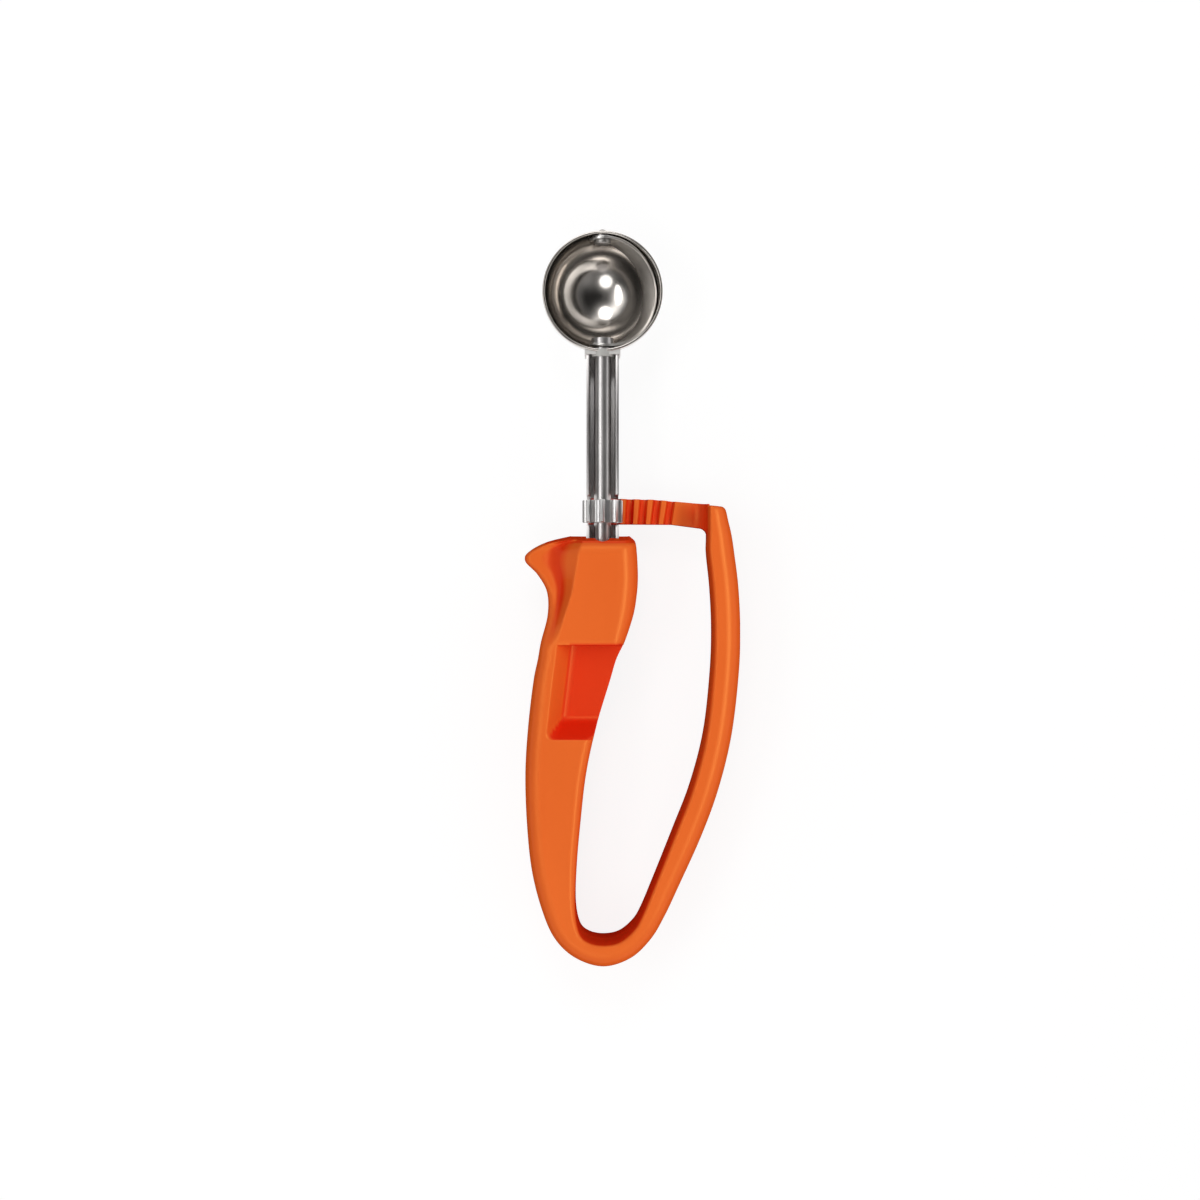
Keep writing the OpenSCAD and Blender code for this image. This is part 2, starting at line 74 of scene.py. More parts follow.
# Cross-sections along the moulding, from the thumb hook round the bow to the lever's top: its outer
# and inner side, half its thickness, the radius of its edges, and the thumb scoop's depth and width
Section = namedtuple(
    "Section", "outer_x outer_y inner_x inner_y half outer_edge inner_edge scoop scoop_width")
SECTIONS = np.array([
    [-8.6, 0.5, 7.2, 0.5, 9.4, 1.2, 2.4, 2.5, 3.4],
    [-14.9, -1.1, 8.7, -1.0, 10.6, 1.6, 3.6, 6.0, 9.2],
    [-19.5, -3.6, 9.0, -3.6, 11.0, 1.8, 4.2, 6.4, 13.3],
    [-20.5, -6.2, 9.2, -6.8, 11.0, 1.8, 4.2, 6.4, 13.9],
    [-17.2, -9.8, 9.3, -11.0, 11.0, 1.8, 4.2, 6.2, 9.9],
    [-14.7, -14.4, 9.0, -15.2, 11.0, 1.9, 4.2, 5.6, 6.6],
    [-14.5, -20.5, 8.1, -20.5, 11.0, 2.2, 4.0, 3.6, 4.6],
    [-16.2, -27.5, 5.8, -27.5, 11.0, 3.0, 3.2, 0.9, 4.2],
    [-17.0, -32.0, 3.7, -32.0, 11.0, 3.8, 2.6, 0.2, 4.2],
    [-18.2, -38.0, 1.9, -38.0, 11.0, 4.1, 2.4, 0.0, 4.2],
    [-19.6, -50.0, -1.7, -50.0, 11.0, 4.4, 2.4, 0.0, 4.6],
    [-20.3, -62.0, -4.3, -62.0, 11.0, 4.2, 2.4, 0.0, 4.4],
    [-19.9, -75.0, -5.8, -75.0, 11.0, 4.0, 2.3, 0.0, 4.2],
    [-18.6, -87.5, -6.9, -87.5, 11.0, 4.0, 2.0, 0.0, 4.2],
    [-15.9, -98.0, -7.2, -97.5, 11.0, 3.8, 1.4, 0.0, 4.0],
    [-12.5, -105.5, -6.1, -103.6, 11.0, 3.6, 1.0, 0.0, 3.8],
    [-7.1, -110.5, -3.7, -106.0, 11.0, 3.6, 1.0, 0.0, 3.8],
    [0.2, -112.7, 0.2, -106.8, 11.0, 3.6, 1.0, 0.0, 3.8],
    [7.4, -110.5, 4.4, -106.0, 11.0, 3.6, 1.0, 0.0, 3.8],
    [12.7, -105.5, 7.9, -103.2, 11.0, 3.6, 1.0, 0.0, 3.8],
    [16.3, -99.5, 10.1, -99.8, 11.0, 3.8, 1.0, 0.0, 4.0],
    [20.0, -91.7, 13.4, -92.0, 11.0, 4.0, 1.0, 0.0, 4.2],
    [26.0, -78.4, 19.0, -78.0, 11.0, 4.0, 1.0, 0.0, 4.2],
    [30.5, -66.0, 23.6, -66.0, 11.0, 4.0, 1.0, 0.0, 4.2],
    [33.9, -52.0, 27.2, -52.0, 11.0, 4.0, 1.0, 0.0, 4.2],
    [35.8, -36.0, 29.0, -36.0, 11.0, 4.0, 1.0, 0.0, 4.2],
    [36.2, -24.0, 29.4, -24.0, 11.0, 4.0, 1.0, 0.0, 4.2],
    [35.7, -13.0, 28.9, -13.0, 11.0, 4.0, 1.0, 0.0, 4.2],
    [34.6, -4.0, 28.0, -4.0, 11.0, 4.0, 0.8, 0.0, 4.2],
    [33.9, 0.6, 28.0, 0.0, 11.0, 3.8, 0.8, 0.0, 4.0],
    [33.1, 4.0, 28.0, 4.3, 11.0, 3.6, 0.8, 0.0, 3.8],
    [32.5, 6.6, 28.0, 7.0, 10.9, 3.3, 0.7, 0.0, 3.5],
    [32.1, 7.5, 28.0, 7.9, 10.7, 3.0, 0.6, 0.0, 3.2],
    [31.5, 7.95, 28.0, 8.25, 10.3, 2.4, 0.5, 0.0, 2.6],
])
LAST = len(SECTIONS) - 1


def section_at(s):
    """The cross-section at place s along the moulding, on a smooth curve through the listed ones."""
    i = min(int(s), LAST - 1)
    a, b, c, d = (SECTIONS[min(max(k, 0), LAST)] for k in (i - 1, i, i + 1, i + 2))
    t = s - i
    return Section(*(0.5 * (2 * b + (c - a) * t + (2 * a - 5 * b + 4 * c - d) * t * t
                            + (3 * b - a - 3 * c + d) * t * t * t)))


def edge_drop(d, radius):
    """How far a rounded edge has dropped at distance d from the side."""
    return 0.0 if d >= radius else radius - math.sqrt(max(radius ** 2 - (radius - d) ** 2, 0))


def soft_min(a, b, width):
    """The lower of two heights, with a fillet where they cross."""
    h = max(width - abs(a - b), 0) / width
    return min(a, b) - h * h * width / 4


def soft_max(a, b, width):
    """The higher of two heights, with a fillet where they cross."""
    return -soft_min(-a, -b, width)


# Thumb scoop: a level plate, a hollow corner and a straight wall up to a crease. The shares of its
# width where the plate ends and the wall starts, the crease's fillet and the least depth that shows
SCOOP_LEVEL = 0.3
SCOOP_WALL = 0.65
PAST_CREASE = 1.3
CREASE_FILLET = 0.5
LEAST_SCOOP = 0.05


def scoop_share(u):
    """Share of the scoop's depth at a share of its width from the moulding's outer side."""
    rise = 1 / (1 - (SCOOP_LEVEL + SCOOP_WALL) / 2)
    if u <= SCOOP_LEVEL:
        return 1.0
    if u >= SCOOP_WALL:
        return (1 - u) * rise
    return 1 - rise * (u - SCOOP_LEVEL) ** 2 / 2 / (SCOOP_WALL - SCOOP_LEVEL)


# Finger pocket: the ends of its left edge in the face, its depth, how far its left and lower walls
# lean out from floor to face, and the corner between them in the floor and in the face
POCKET_TOP = (-11.9, -28.2)
POCKET_LOW = (-14.8, -53.1)
POCKET_DEPTH = 7.0
POCKET_LEAN = 3.5
POCKET_RAMP = 5.2
FLOOR_CORNER = 1.2
FACE_CORNER = 2.2
LEAST_CORNER = 0.2
POCKET_DRAFT = 0.25
FACE_HALF = 11.0
FLOOR_HALF = FACE_HALF - POCKET_DEPTH

# Fillets at the pocket's floor, its upper wall and its rim, how far past its ends its walls are
# still worked out, the sections that it lies between, and the x that the fixed leg stays under
FLOOR_FILLET = 1.4
TOP_FILLET = 0.8
RIM_FILLET = 0.6
PAST_LOW, PAST_TOP = 0.6, 0.01
POCKET_SECTIONS = (6, 11)
LEG_REACH = 14


def pocket_edge(y):
    """x of the pocket's left edge in the face, at height y."""
    share = (POCKET_TOP[1] - y) / (POCKET_TOP[1] - POCKET_LOW[1])
    x = POCKET_TOP[0] + (POCKET_LOW[0] - POCKET_TOP[0]) * share
    into = (POCKET_LOW[1] + FACE_CORNER - y) / FACE_CORNER
    if into > 0:
        x += FACE_CORNER * (1 - math.sqrt(max(1 - min(into, 1) ** 2, 0)))
    return x


def inside_pocket(x, y, rise):
    """How far a place is inside the pocket's outline, at a share of its depth above the floor."""
    corner = max(FLOOR_CORNER + (FACE_CORNER - FLOOR_CORNER) * rise, LEAST_CORNER)
    share = (POCKET_TOP[1] - y) / (POCKET_TOP[1] - POCKET_LOW[1])
    left = x - (POCKET_TOP[0] + (POCKET_LOW[0] - POCKET_TOP[0]) * share) - POCKET_LEAN * (1 - rise)
    low = y - POCKET_LOW[1] - POCKET_RAMP * (1 - rise)
    if left < corner and low < corner:
        return corner - math.hypot(corner - left, corner - low)
    return min(left, low)


# Shares of the pocket's depth between which its walls are looked for, and how often they are halved
LOWEST_SHARE, HIGHEST_SHARE = -0.6, 1.3
WALL_HALVINGS = 16


def pocket_height(x, y):
    """Half thickness where the pocket's leaning walls stand, carried on below its floor."""
    low, high = LOWEST_SHARE, HIGHEST_SHARE
    for _ in range(WALL_HALVINGS):
        middle = (low + high) / 2
        if inside_pocket(x, y, middle) > 0:
            high = middle
        else:
            low = middle
    return FLOOR_HALF + POCKET_DEPTH * high


def face_height(c, w, d, x, y):
    """Half thickness of the moulding at distance d from its outer side."""
    face = c.half - edge_drop(d, c.outer_edge) - edge_drop(w - d, c.inner_edge)
    if c.scoop > LEAST_SCOOP:
        u = d / c.scoop_width
        if u < PAST_CREASE:
            face = soft_min(face, face - c.scoop * scoop_share(u), CREASE_FILLET)
    if x > LEG_REACH or not POCKET_LOW[1] - PAST_LOW <= y <= POCKET_TOP[1] + PAST_TOP:
        return face
    above = c.half - (POCKET_TOP[1] - y) * POCKET_DEPTH / POCKET_DRAFT
    walls = soft_max(soft_max(FLOOR_HALF, pocket_height(x, y), FLOOR_FILLET), above, TOP_FILLET)
    return soft_min(face, walls, RIM_FILLET)


PLACE_HALVINGS = 40


def place_at_height(y, low, high):
    """Place along the fixed leg where it passes height y."""
    for _ in range(PLACE_HALVINGS):
        middle = (low + high) / 2
        if section_at(middle).outer_y > y:
            low = middle
        else:
            high = middle
    return (low + high) / 2


# Rings along the moulding, closer together at the pocket's upper wall, at the foot of its lower wall
# in the face, and where its ramp meets its floor
PER_SECTION = 9
UPPER_STEPS = (0, 0.04, 0.08, 0.13, 0.18, 0.23, 0.3, 0.4, 0.55)
LOWER_STEPS = (-0.45, -0.2, -0.05, 0.08, 0.2, 0.4, 0.7, 1.05, 1.4, 1.8, 2.2)
FLOOR_STEPS = (-1.6, -1.1, -0.7, -0.3, 0.1, 0.5, 0.9, 1.4)
CLEAR = 0.03
wall_heights = [POCKET_TOP[1] - step for step in UPPER_STEPS]
wall_heights += [POCKET_LOW[1] + step for step in LOWER_STEPS]
wall_heights += [POCKET_LOW[1] + POCKET_RAMP + step for step in FLOOR_STEPS]
wall_places = sorted(place_at_height(y, *POCKET_SECTIONS) for y in wall_heights)
even_places = [k / PER_SECTION for k in range(LAST * PER_SECTION + 1)]
ring_places = sorted(
    wall_places + [s for s in even_places if min(abs(s - p) for p in wall_places) > CLEAR])

# Shares of an edge's radius at which the points of its rounding stand
EDGE_POINTS = 7
rounding = [1 - math.cos(math.pi / 2 * k / EDGE_POINTS) for k in range(EDGE_POINTS + 1)]
# The seam that the mould's halves leave along both sides
SEAM_HALF = 0.14
SEAM_DEPTH = 0.025


def between(a, b, count):
    """count distances after a, the last of them b."""
    return [a + (b - a) * (k + 1) / count for k in range(count)]


# The least distance between two creases, where they run together, and the number of points up to
# each crease: two for the scoop's plate, six for its hollow corner, and so on to the inner edge
MARK_GAP = 0.06
MARK_COUNTS = (2, 6, 2, 3, 3, 2, 1, 4, 4, 6)


def flat_steps(c, w, edge, foot):
    """Distances across the face between its two rounded edges, close together at its creases."""
    level = max(SCOOP_LEVEL * c.scoop_width, c.outer_edge + 0.1)
    wall = max(SCOOP_WALL * c.scoop_width, level + 0.1)
    crease = max(c.scoop_width, wall + 0.3)
    marks = [c.outer_edge, level, wall, crease - 0.5, crease, crease + 0.5, edge - 0.04, edge + 0.12,
             foot - 0.5, foot + 0.5, w - c.inner_edge]
    for k in range(1, len(marks)):
        marks[k] = max(marks[k], marks[k - 1] + MARK_GAP)
    marks[-1] = w - c.inner_edge
    for k in range(len(marks) - 2, 0, -1):
        marks[k] = min(marks[k], marks[k + 1] - MARK_GAP)
    return [d for a, b, count in zip(marks, marks[1:], MARK_COUNTS) for d in between(a, b, count)]


def handle_ring(s):
    """Points round the moulding at place s: across the front, down the inner side, back, and up."""
    c = section_at(s)
    outer = np.array([c.outer_x, c.outer_y])
    across = np.array([c.inner_x - c.outer_x, c.inner_y - c.outer_y])
    w = float(np.linalg.norm(across))
    across = across / w
    y_mid = (c.outer_y + c.inner_y) / 2
    edge = pocket_edge(min(max(y_mid, POCKET_LOW[1]), POCKET_TOP[1])) - c.outer_x
    steps = [c.outer_edge * share for share in rounding]
    steps += flat_steps(c, w, edge, edge + POCKET_LEAN)
    steps += [w - c.inner_edge * share for share in rounding[-2::-1]]
    front = []
    for d in steps:
        x, y = outer + across * d
        front.append((x, y, face_height(c, w, d, x, y_mid)))
    side = front[-1]
    seam = [(side[0], side[1], z) for z in (FLOOR_HALF, SEAM_HALF, 0, -SEAM_HALF, -FLOOR_HALF)]
    if side[2] < FLOOR_HALF:
        seam[0], seam[-1] = side, (side[0], side[1], -side[2])
    seam[2] = (side[0] - across[0] * SEAM_DEPTH, side[1] - across[1] * SEAM_DEPTH, 0)
    top = front[0]
    far_seam = [(top[0], top[1], z) for z in (-SEAM_HALF, 0, SEAM_HALF)]
    far_seam[1] = (top[0] + across[0] * SEAM_DEPTH, top[1] + across[1] * SEAM_DEPTH, 0)
    return front + seam + [(x, y, -z) for x, y, z in reversed(front)] + far_seam


def shrunk(ring, by):
    """The ring pulled in by a small distance, to round an end."""
    pts = np.array(ring)
    middle = pts.mean(0)
    span = np.abs(pts - middle).max(0)
    scale = 1 - by / np.maximum(span, 1)
    scale[1] = 1
    return [tuple(p) for p in middle + (pts - middle) * scale]


def mesh_piece(name, points, faces):
    """A mesh object from points in the handle's millimetres."""
    mesh = bpy.data.meshes.new(name)
    mesh.from_pydata([place(*p) for p in points], [], faces)
    work = bmesh.new()
    work.from_mesh(mesh)
    bmesh.ops.remove_doubles(work, verts=work.verts, dist=2e-7)
    bmesh.ops.dissolve_degenerate(work, edges=work.edges, dist=1e-8)
    bmesh.ops.recalc_face_normals(work, faces=work.faces)
    work.to_mesh(mesh)
    work.free()
    piece = bpy.data.objects.new(name, mesh)
    bpy.context.scene.collection.objects.link(piece)
    return piece


def looped(rings, closed_ends=True):
    """Faces that join rings of equal length, one after the other."""
    n = len(rings[0])
    points = [p for ring in rings for p in ring]
    faces = [
        (j * n + k, j * n + (k + 1) % n, (j + 1) * n + (k + 1) % n, (j + 1) * n + k)
        for j in range(len(rings) - 1) for k in range(n)
    ]
    if closed_ends:
        faces.append(tuple(range(n))[::-1])
        faces.append(tuple((len(rings) - 1) * n + k for k in range(n)))
    return points, faces


def smooth(piece, angle=35):
    """Smooth shading that keeps edges sharper than the angle."""
    piece.data.polygons.foreach_set("use_smooth", [True] * len(piece.data.polygons))
    piece.data.set_sharp_from_angle(angle=math.radians(angle))
    return piece


def settle(piece):
    """Turns the piece's modifiers into its mesh."""
    bpy.context.view_layer.update()
    shape = piece.evaluated_get(bpy.context.evaluated_depsgraph_get())
    finished = bpy.data.meshes.new_from_object(shape)
    piece.modifiers.clear()
    piece.data = finished
    return piece


def block(name, low, high):
    """A box between two corners."""
    (x0, y0, z0), (x1, y1, z1) = low, high
    points = [(x, y, z) for x in (x0, x1) for y in (y0, y1) for z in (z0, z1)]
    faces = [(0, 1, 3, 2), (4, 6, 7, 5), (0, 4, 5, 1), (2, 3, 7, 6), (0, 2, 6, 4), (1, 5, 7, 3)]
    return mesh_piece(name, points, faces)


def rod_between(name, start, end, radius, segments=48):
    """A round bar between two points, as a tool to cut with."""
    start, end = np.array(start, float), np.array(end, float)
    along = (end - start) / np.linalg.norm(end - start)
    side = np.cross(along, [0.3, 0.5, 0.8])
    side /= np.linalg.norm(side)
    other = np.cross(along, side)
    angles = [2 * math.pi * k / segments for k in range(segments)]
    rings = [[tuple(p + radius * (side * math.cos(a) + other * math.sin(a))) for a in angles]
             for p in (start, end)]
    return mesh_piece(name, *looped(rings))


def cut(piece, tools):
    """Takes the tools' shapes away from the piece, and the tools with them."""
    for tool in tools:
        taking = piece.modifiers.new("cut", "BOOLEAN")
        taking.operation, taking.solver, taking.object = "DIFFERENCE", "EXACT", tool
    settle(piece)
    for tool in tools:
        bpy.data.objects.remove(tool)
    return piece


# The mould's draft on the fixed leg's top end, which falls away from the seam to both faces, and the
# widest places of the moulding, where the curve through its sections would swell past them
END_DRAFT = 0.16
DRAFT_REACH = 5.0
DRAFT_SIDE = 12
WIDEST = (-20.61, 36.19)


def clamped(value, low=0, high=1):
    return min(max(value, low), high)


def drafted(point):
    """The point on the drafted top end, and no further out than the moulding's widest places."""
    x, y, z = point
    share = clamped((y + DRAFT_REACH) / DRAFT_REACH) if x < DRAFT_SIDE else 0
    return clamped(x, *WIDEST), y - END_DRAFT * abs(z) * share, z


HOOK_END_R = 0.45
LEVER_END_R = 0.3
handle_rings = [[drafted(point) for point in handle_ring(s)] for s in ring_places]
handle_rings.insert(0, shrunk(handle_rings[0], HOOK_END_R))
handle_rings.append(shrunk(handle_rings[-1], LEVER_END_R))
handle_points, handle_faces = looped(handle_rings, closed_ends=False)
per_ring = len(handle_rings[0])
handle_faces.append(tuple(len(handle_points) - per_ring + k for k in range(per_ring)))

# The drafted end is closed by a ridge along the seam, which the faces' points are joined to
columns = (per_ring - 8) // 2
ridge = [2 * columns + 6] + [len(handle_points) + k for k in range(columns - 2)] + [columns + 2]
for k in range(1, columns - 1):
    x, front_y, front_z = handle_rings[0][k]
    handle_points.append((x, front_y + END_DRAFT * abs(front_z), 0))
for k in range(columns - 1):
    innermost = k == columns - 2
    front = [k, k + 1] + ([columns, columns + 1] if innermost else [])
    back = [2 * columns + 4 - k, 2 * columns + 3 - k]
    back += [columns + 4, columns + 3] if innermost else []
    outer_front = [2 * columns + 7] if k == 0 else []
    outer_back = [2 * columns + 5] if k == 0 else []
    handle_faces.append(tuple(outer_front + front + [ridge[k + 1], ridge[k]]))
    handle_faces.append(tuple(outer_back + back + [ridge[k + 1], ridge[k]])[::-1])
handle = mesh_piece("moulded_handle", handle_points, handle_faces)

# Socket for the shank, relief for the rod, and the blind bore of the pin that holds the shank
SHANK_HALF = 4.3
SHANK_BACK = 9.2
SHANK_IN = 26.0
SLIP = 0.05
SOCKET_FRONT = 3.5
MOUTH_Y = 1.2
MOUTH_R = 2.4
CROSS_PIN_Y = -17
CROSS_PIN_Z = -3.2
CROSS_PIN_R = 1.5
socket_low = (-SHANK_HALF - SLIP, -SHANK_IN, -SHANK_BACK - SLIP)
socket_high = (SHANK_HALF + SLIP, 3, SOCKET_FRONT)
cut(handle, [
    block("socket", socket_low, socket_high),
    rod_between("mouth", (0, MOUTH_Y, 1.0), (0, MOUTH_Y, 12.0), MOUTH_R),
    rod_between("pin_bore", (-7.5, CROSS_PIN_Y, CROSS_PIN_Z), (14, CROSS_PIN_Y, CROSS_PIN_Z), CROSS_PIN_R),
])
smooth(handle, 48)

# How much painted shade, a deep red, the moulding gets, from 0 to 1. The top end's drafted faces: up to an
# x and over a height
END_SHADE = 0.7
END_X, END_Y = 10, -1.6
UP_FACING = 0.6
# The loop's inner walls, painted with shade: they face its middle and stand upright, and the painted shade
# deepens towards the bow
INNER_SHADE = 0.8
LEAST_INNER = 0.15
LOOP_MIDDLE = (5.0, -50.0)
LOOP_TOP = 2
SIDE_FADE = 8.0
RED_START, RED_RUN = -35, 50
LEANING = 0.5
# The pocket: its floor and lower walls, but not the leg's inner wall beside it
RIGHT_FACING = 0.8
FLOOR_FADE = (0.5, 0.7)
# The thumb scoop's hollow corner, painted with shade: its place and spread as shares of the scoop's width,
# how fast the painted shade rises in it and how far, the part of the leg that it is in, and the depth that
# has all of it
SCOOP_CORNER = 0.56
SCOOP_SPREAD = 0.24
SCOOP_RISE = 1.5
SCOOP_SHADE = 0.8
SCOOP_X, SCOOP_Y = 4, 0.4
SCOOP_SECTIONS = (0.0, 8.0)
DEEP_SCOOP = 5


def painted_shade(point, normal):
    """How much painted shade a point gets, from 0 to 1: in a pocket, on the top end's drafted faces, in
    the thumb scoop's corner or on the loop's inner wall.
    """
    offset = (Vector(point) - handle_top) * 1000
    x, y = offset.dot(to_lever), offset.dot(up_shank)
    right, up = normal.dot(to_lever), normal.dot(up_shank)
    if x < END_X and y > END_Y and up > UP_FACING:
        return END_SHADE
    inward = (LOOP_MIDDLE[0] - x) * right + (LOOP_MIDDLE[1] - y) * up
    upright = max(1 - abs(normal.dot(to_front)) / LEANING, 0)
    deep_in = clamped((RED_START - y) / RED_RUN, LEAST_INNER)
    shade_or_glow = INNER_SHADE * upright * deep_in * clamped(1 + inward / SIDE_FADE) if y < LOOP_TOP else 0.0
    if x < LEG_REACH and POCKET_LOW[1] < y <= POCKET_TOP[1] + 2 * PAST_TOP and right < RIGHT_FACING:
        lean = POCKET_LEAN * min((y - POCKET_LOW[1]) / POCKET_RAMP, 1)
        return max(clamped((x - pocket_edge(y) - lean + FLOOR_FADE[0]) / FLOOR_FADE[1]), shade_or_glow)
    if x < SCOOP_X and SCOOP_Y > y > POCKET_TOP[1]:
        c = section_at(place_at_height(y, *SCOOP_SECTIONS))
        off_corner = abs((x - c.outer_x) / c.scoop_width - SCOOP_CORNER) / SCOOP_SPREAD
        corner_shade = min(max(1 - off_corner, 0) * SCOOP_RISE, SCOOP_SHADE)
        return max(corner_shade * min(c.scoop / DEEP_SCOOP, 1), shade_or_glow)
    return shade_or_glow


# Painted shade: a deep red amount for each point of the moulding, kept as a mesh attribute for its
# material
shade_amounts = handle.data.attributes.new("painted_shade", "FLOAT", "POINT")
shade_amounts.data.foreach_set("value", [painted_shade(v.co, v.normal) for v in handle.data.vertices])


def add_node(tree, kind, **values):
    """A shader node, with its plain values set by input name."""
    node = tree.nodes.new(kind)
    for name, value in values.items():
        if name in node.inputs:
            node.inputs[name].default_value = value
        else:
            setattr(node, name, value)
    return node


def new_finish(name, **values):
    """A material with one Principled shader, its even values set on the shader itself."""
    finish = bpy.data.materials.new(name)
    finish.use_nodes = True
    tree = finish.node_tree
    shader = tree.nodes["Principled BSDF"]
    for key, value in values.items():
        shader.inputs[key].default_value = value
    return finish, tree, shader


def grain(tree, scale, detail=4.0, stretch=(1, 1, 1)):
    """Noise that stays on the piece, its scale in lumps per metre."""
    spot = add_node(tree, "ShaderNodeTexCoord")
    mapping = add_node(tree, "ShaderNodeMapping")
    mapping.inputs["Scale"].default_value = stretch
    noise = add_node(tree, "ShaderNodeTexNoise", Scale=scale, Detail=detail)
    tree.links.new(spot.outputs["Object"], mapping.inputs["Vector"])
    tree.links.new(mapping.outputs["Vector"], noise.inputs["Vector"])
    return noise.outputs["Fac"]


def ramp(tree, source, stops):
    """Colours or greys that follow a value, as (position, colour) stops."""
    node = add_node(tree, "ShaderNodeValToRGB")
    elements = node.color_ramp.elements
    while len(elements) < len(stops):
        elements.new(0.5)
    for element, (position, colour) in zip(elements, stops):
        element.position = position
        element.color = colour if len(colour) == 4 else (*colour, 1)
    tree.links.new(source, node.inputs["Fac"])
    return node.outputs["Color"]


def bumped(tree, shader, source, depth, strength=1.0):
    """Relief of a given depth in metres on the shader's surface."""
    bump = add_node(tree, "ShaderNodeBump", Strength=strength, Distance=depth)
    tree.links.new(source, bump.inputs["Height"])
    tree.links.new(bump.outputs["Normal"], shader.inputs["Normal"])
    return bump


def grey(value):
    return (value, value, value, 1)


# Semi-gloss polypropylene: a fine spark-eroded grain, faint flow marks in its orange, and painted shade:
# a deep red mixed in where ambient occlusion finds a hollow, and in the pockets, corners and loop walls
FULL_ORANGE = (0.80, 0.118, 0.017)
PALE_ORANGE = (0.84, 0.130, 0.020)
PAINTED_SHADE_RED = (0.76, 0.021, 0.004, 1)
plastic, tree, shader = new_finish(
    "orange_polypropylene", **{"IOR": 1.49, "Specular Tint": (1.0, 0.60, 0.16, 1)})
flow = grain(tree, 55, 3, (1, 0.35, 1))
open_colour = ramp(tree, flow, [(0.3, FULL_ORANGE), (0.7, PALE_ORANGE)])
# Painted shade: the orange is mixed towards deep red where ambient occlusion finds a hollow and where the
# mesh's shade attribute is set
hollow = add_node(tree, "ShaderNodeAmbientOcclusion", samples=8, Distance=0.012)
corner = ramp(tree, hollow.outputs["AO"], [(0.25, grey(1)), (0.62, grey(0))])
depth = add_node(tree, "ShaderNodeAttribute", attribute_name="painted_shade")
painted_shade_share = add_node(tree, "ShaderNodeMath", operation="MAXIMUM")
tree.links.new(corner, painted_shade_share.inputs[0])
tree.links.new(depth.outputs["Fac"], painted_shade_share.inputs[1])
blend = add_node(tree, "ShaderNodeMix", data_type="RGBA")
tree.links.new(painted_shade_share.outputs[0], blend.inputs[0])
tree.links.new(open_colour, blend.inputs[6])
blend.inputs[7].default_value = PAINTED_SHADE_RED
tree.links.new(blend.outputs[2], shader.inputs["Base Color"])
speckle = grain(tree, 2600, 2)
tree.links.new(ramp(tree, speckle, [(0.25, grey(0.34)), (0.75, grey(0.41))]), shader.inputs["Roughness"])
bumped(tree, shader, speckle, 0.00002, 0.35)
# The grain scatters what a smooth wall would mirror at a grazing angle
glance = add_node(tree, "ShaderNodeLayerWeight", Blend=0.5)
sheen_level = add_node(tree, "ShaderNodeMapRange")
for socket, value in (("From Min", 0.1), ("From Max", 0.4), ("To Min", 0.85), ("To Max", 0.0)):
    sheen_level.inputs[socket].default_value = value
tree.links.new(glance.outputs["Facing"], sheen_level.inputs["Value"])
tree.links.new(sheen_level.outputs["Result"], shader.inputs["Specular IOR Level"])
handle.data.materials.append(plastic)

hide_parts("handle_body", "flex_bow", "squeeze_lever")


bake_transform(handle)

# --------------------------------------
# Toothed arm. A flat bar of the same moulding that leaves the top of the lever behind the rod;
# the slanting gaps across its face are the rack that turns the pinion.
# --------------------------------------
TOOTH_COUNT = 8
GEAR_MODULE = 1.125
CROWN_TEETH = 204
FRONT_TOOTH = -1.0
PINION_R = GEAR_MODULE * TOOTH_COUNT / 2
TOOTH_PITCH = math.pi * GEAR_MODULE
HINGE_Y = PINION_Y - GEAR_MODULE * CROWN_TEETH / 2
PRESSURE = math.radians(20)
# The rack: how far its face is over the pitch line and its gaps are under it, how much wider than
# a tooth a gap is on each side, the tool that cuts one, and the first and last gap
GAP_TOP = 0.65
GAP_ROOT = 1.15
GAP_SPREAD = 0.1
TOOL_HALF = 6
TOOL_OVER = 1.0
FIRST_GAP, LAST_GAP = -1, 5

# The arm from its free end to its root, which runs a little way into the lever
ARM_BACK = -8.0
ARM_FACE = GAP_TOP - PINION_R
ROOT_X = 28.0
ROOT_FILLET = 2.2
INTO_LEVER = 0.5
GUSSET_R = 4.0
LOW_END, LOW_BEND, LOW_ROOT = (-3.9, 3.9), (18.6, 3.75), 2.8
TOP_END, TOP_BEND, TOP_ROOT = (-2.9, 10.8), (14, 10.4), 9.05
END_CORNER = (-3.9, 9.8)
LEVER_FOOT = 0.6
arc = [math.radians(a) for a in range(0, 91, 9)]
arm_outline = [LOW_END, LOW_BEND]
arm_outline += [(ROOT_X - ROOT_FILLET * (1 - math.sin(a)), LOW_ROOT - ROOT_FILLET * (1 - math.cos(a)))
                for a in arc]
arm_outline += [(ROOT_X + INTO_LEVER, LEVER_FOOT), (ROOT_X + INTO_LEVER, TOP_ROOT)]
arm_outline += [TOP_BEND, TOP_END, END_CORNER]
arm = mesh_piece("toothed_arm", *looped(
    [[(x, y, z) for x, y in arm_outline] for z in (ARM_BACK, ARM_FACE + GUSSET_R)]))


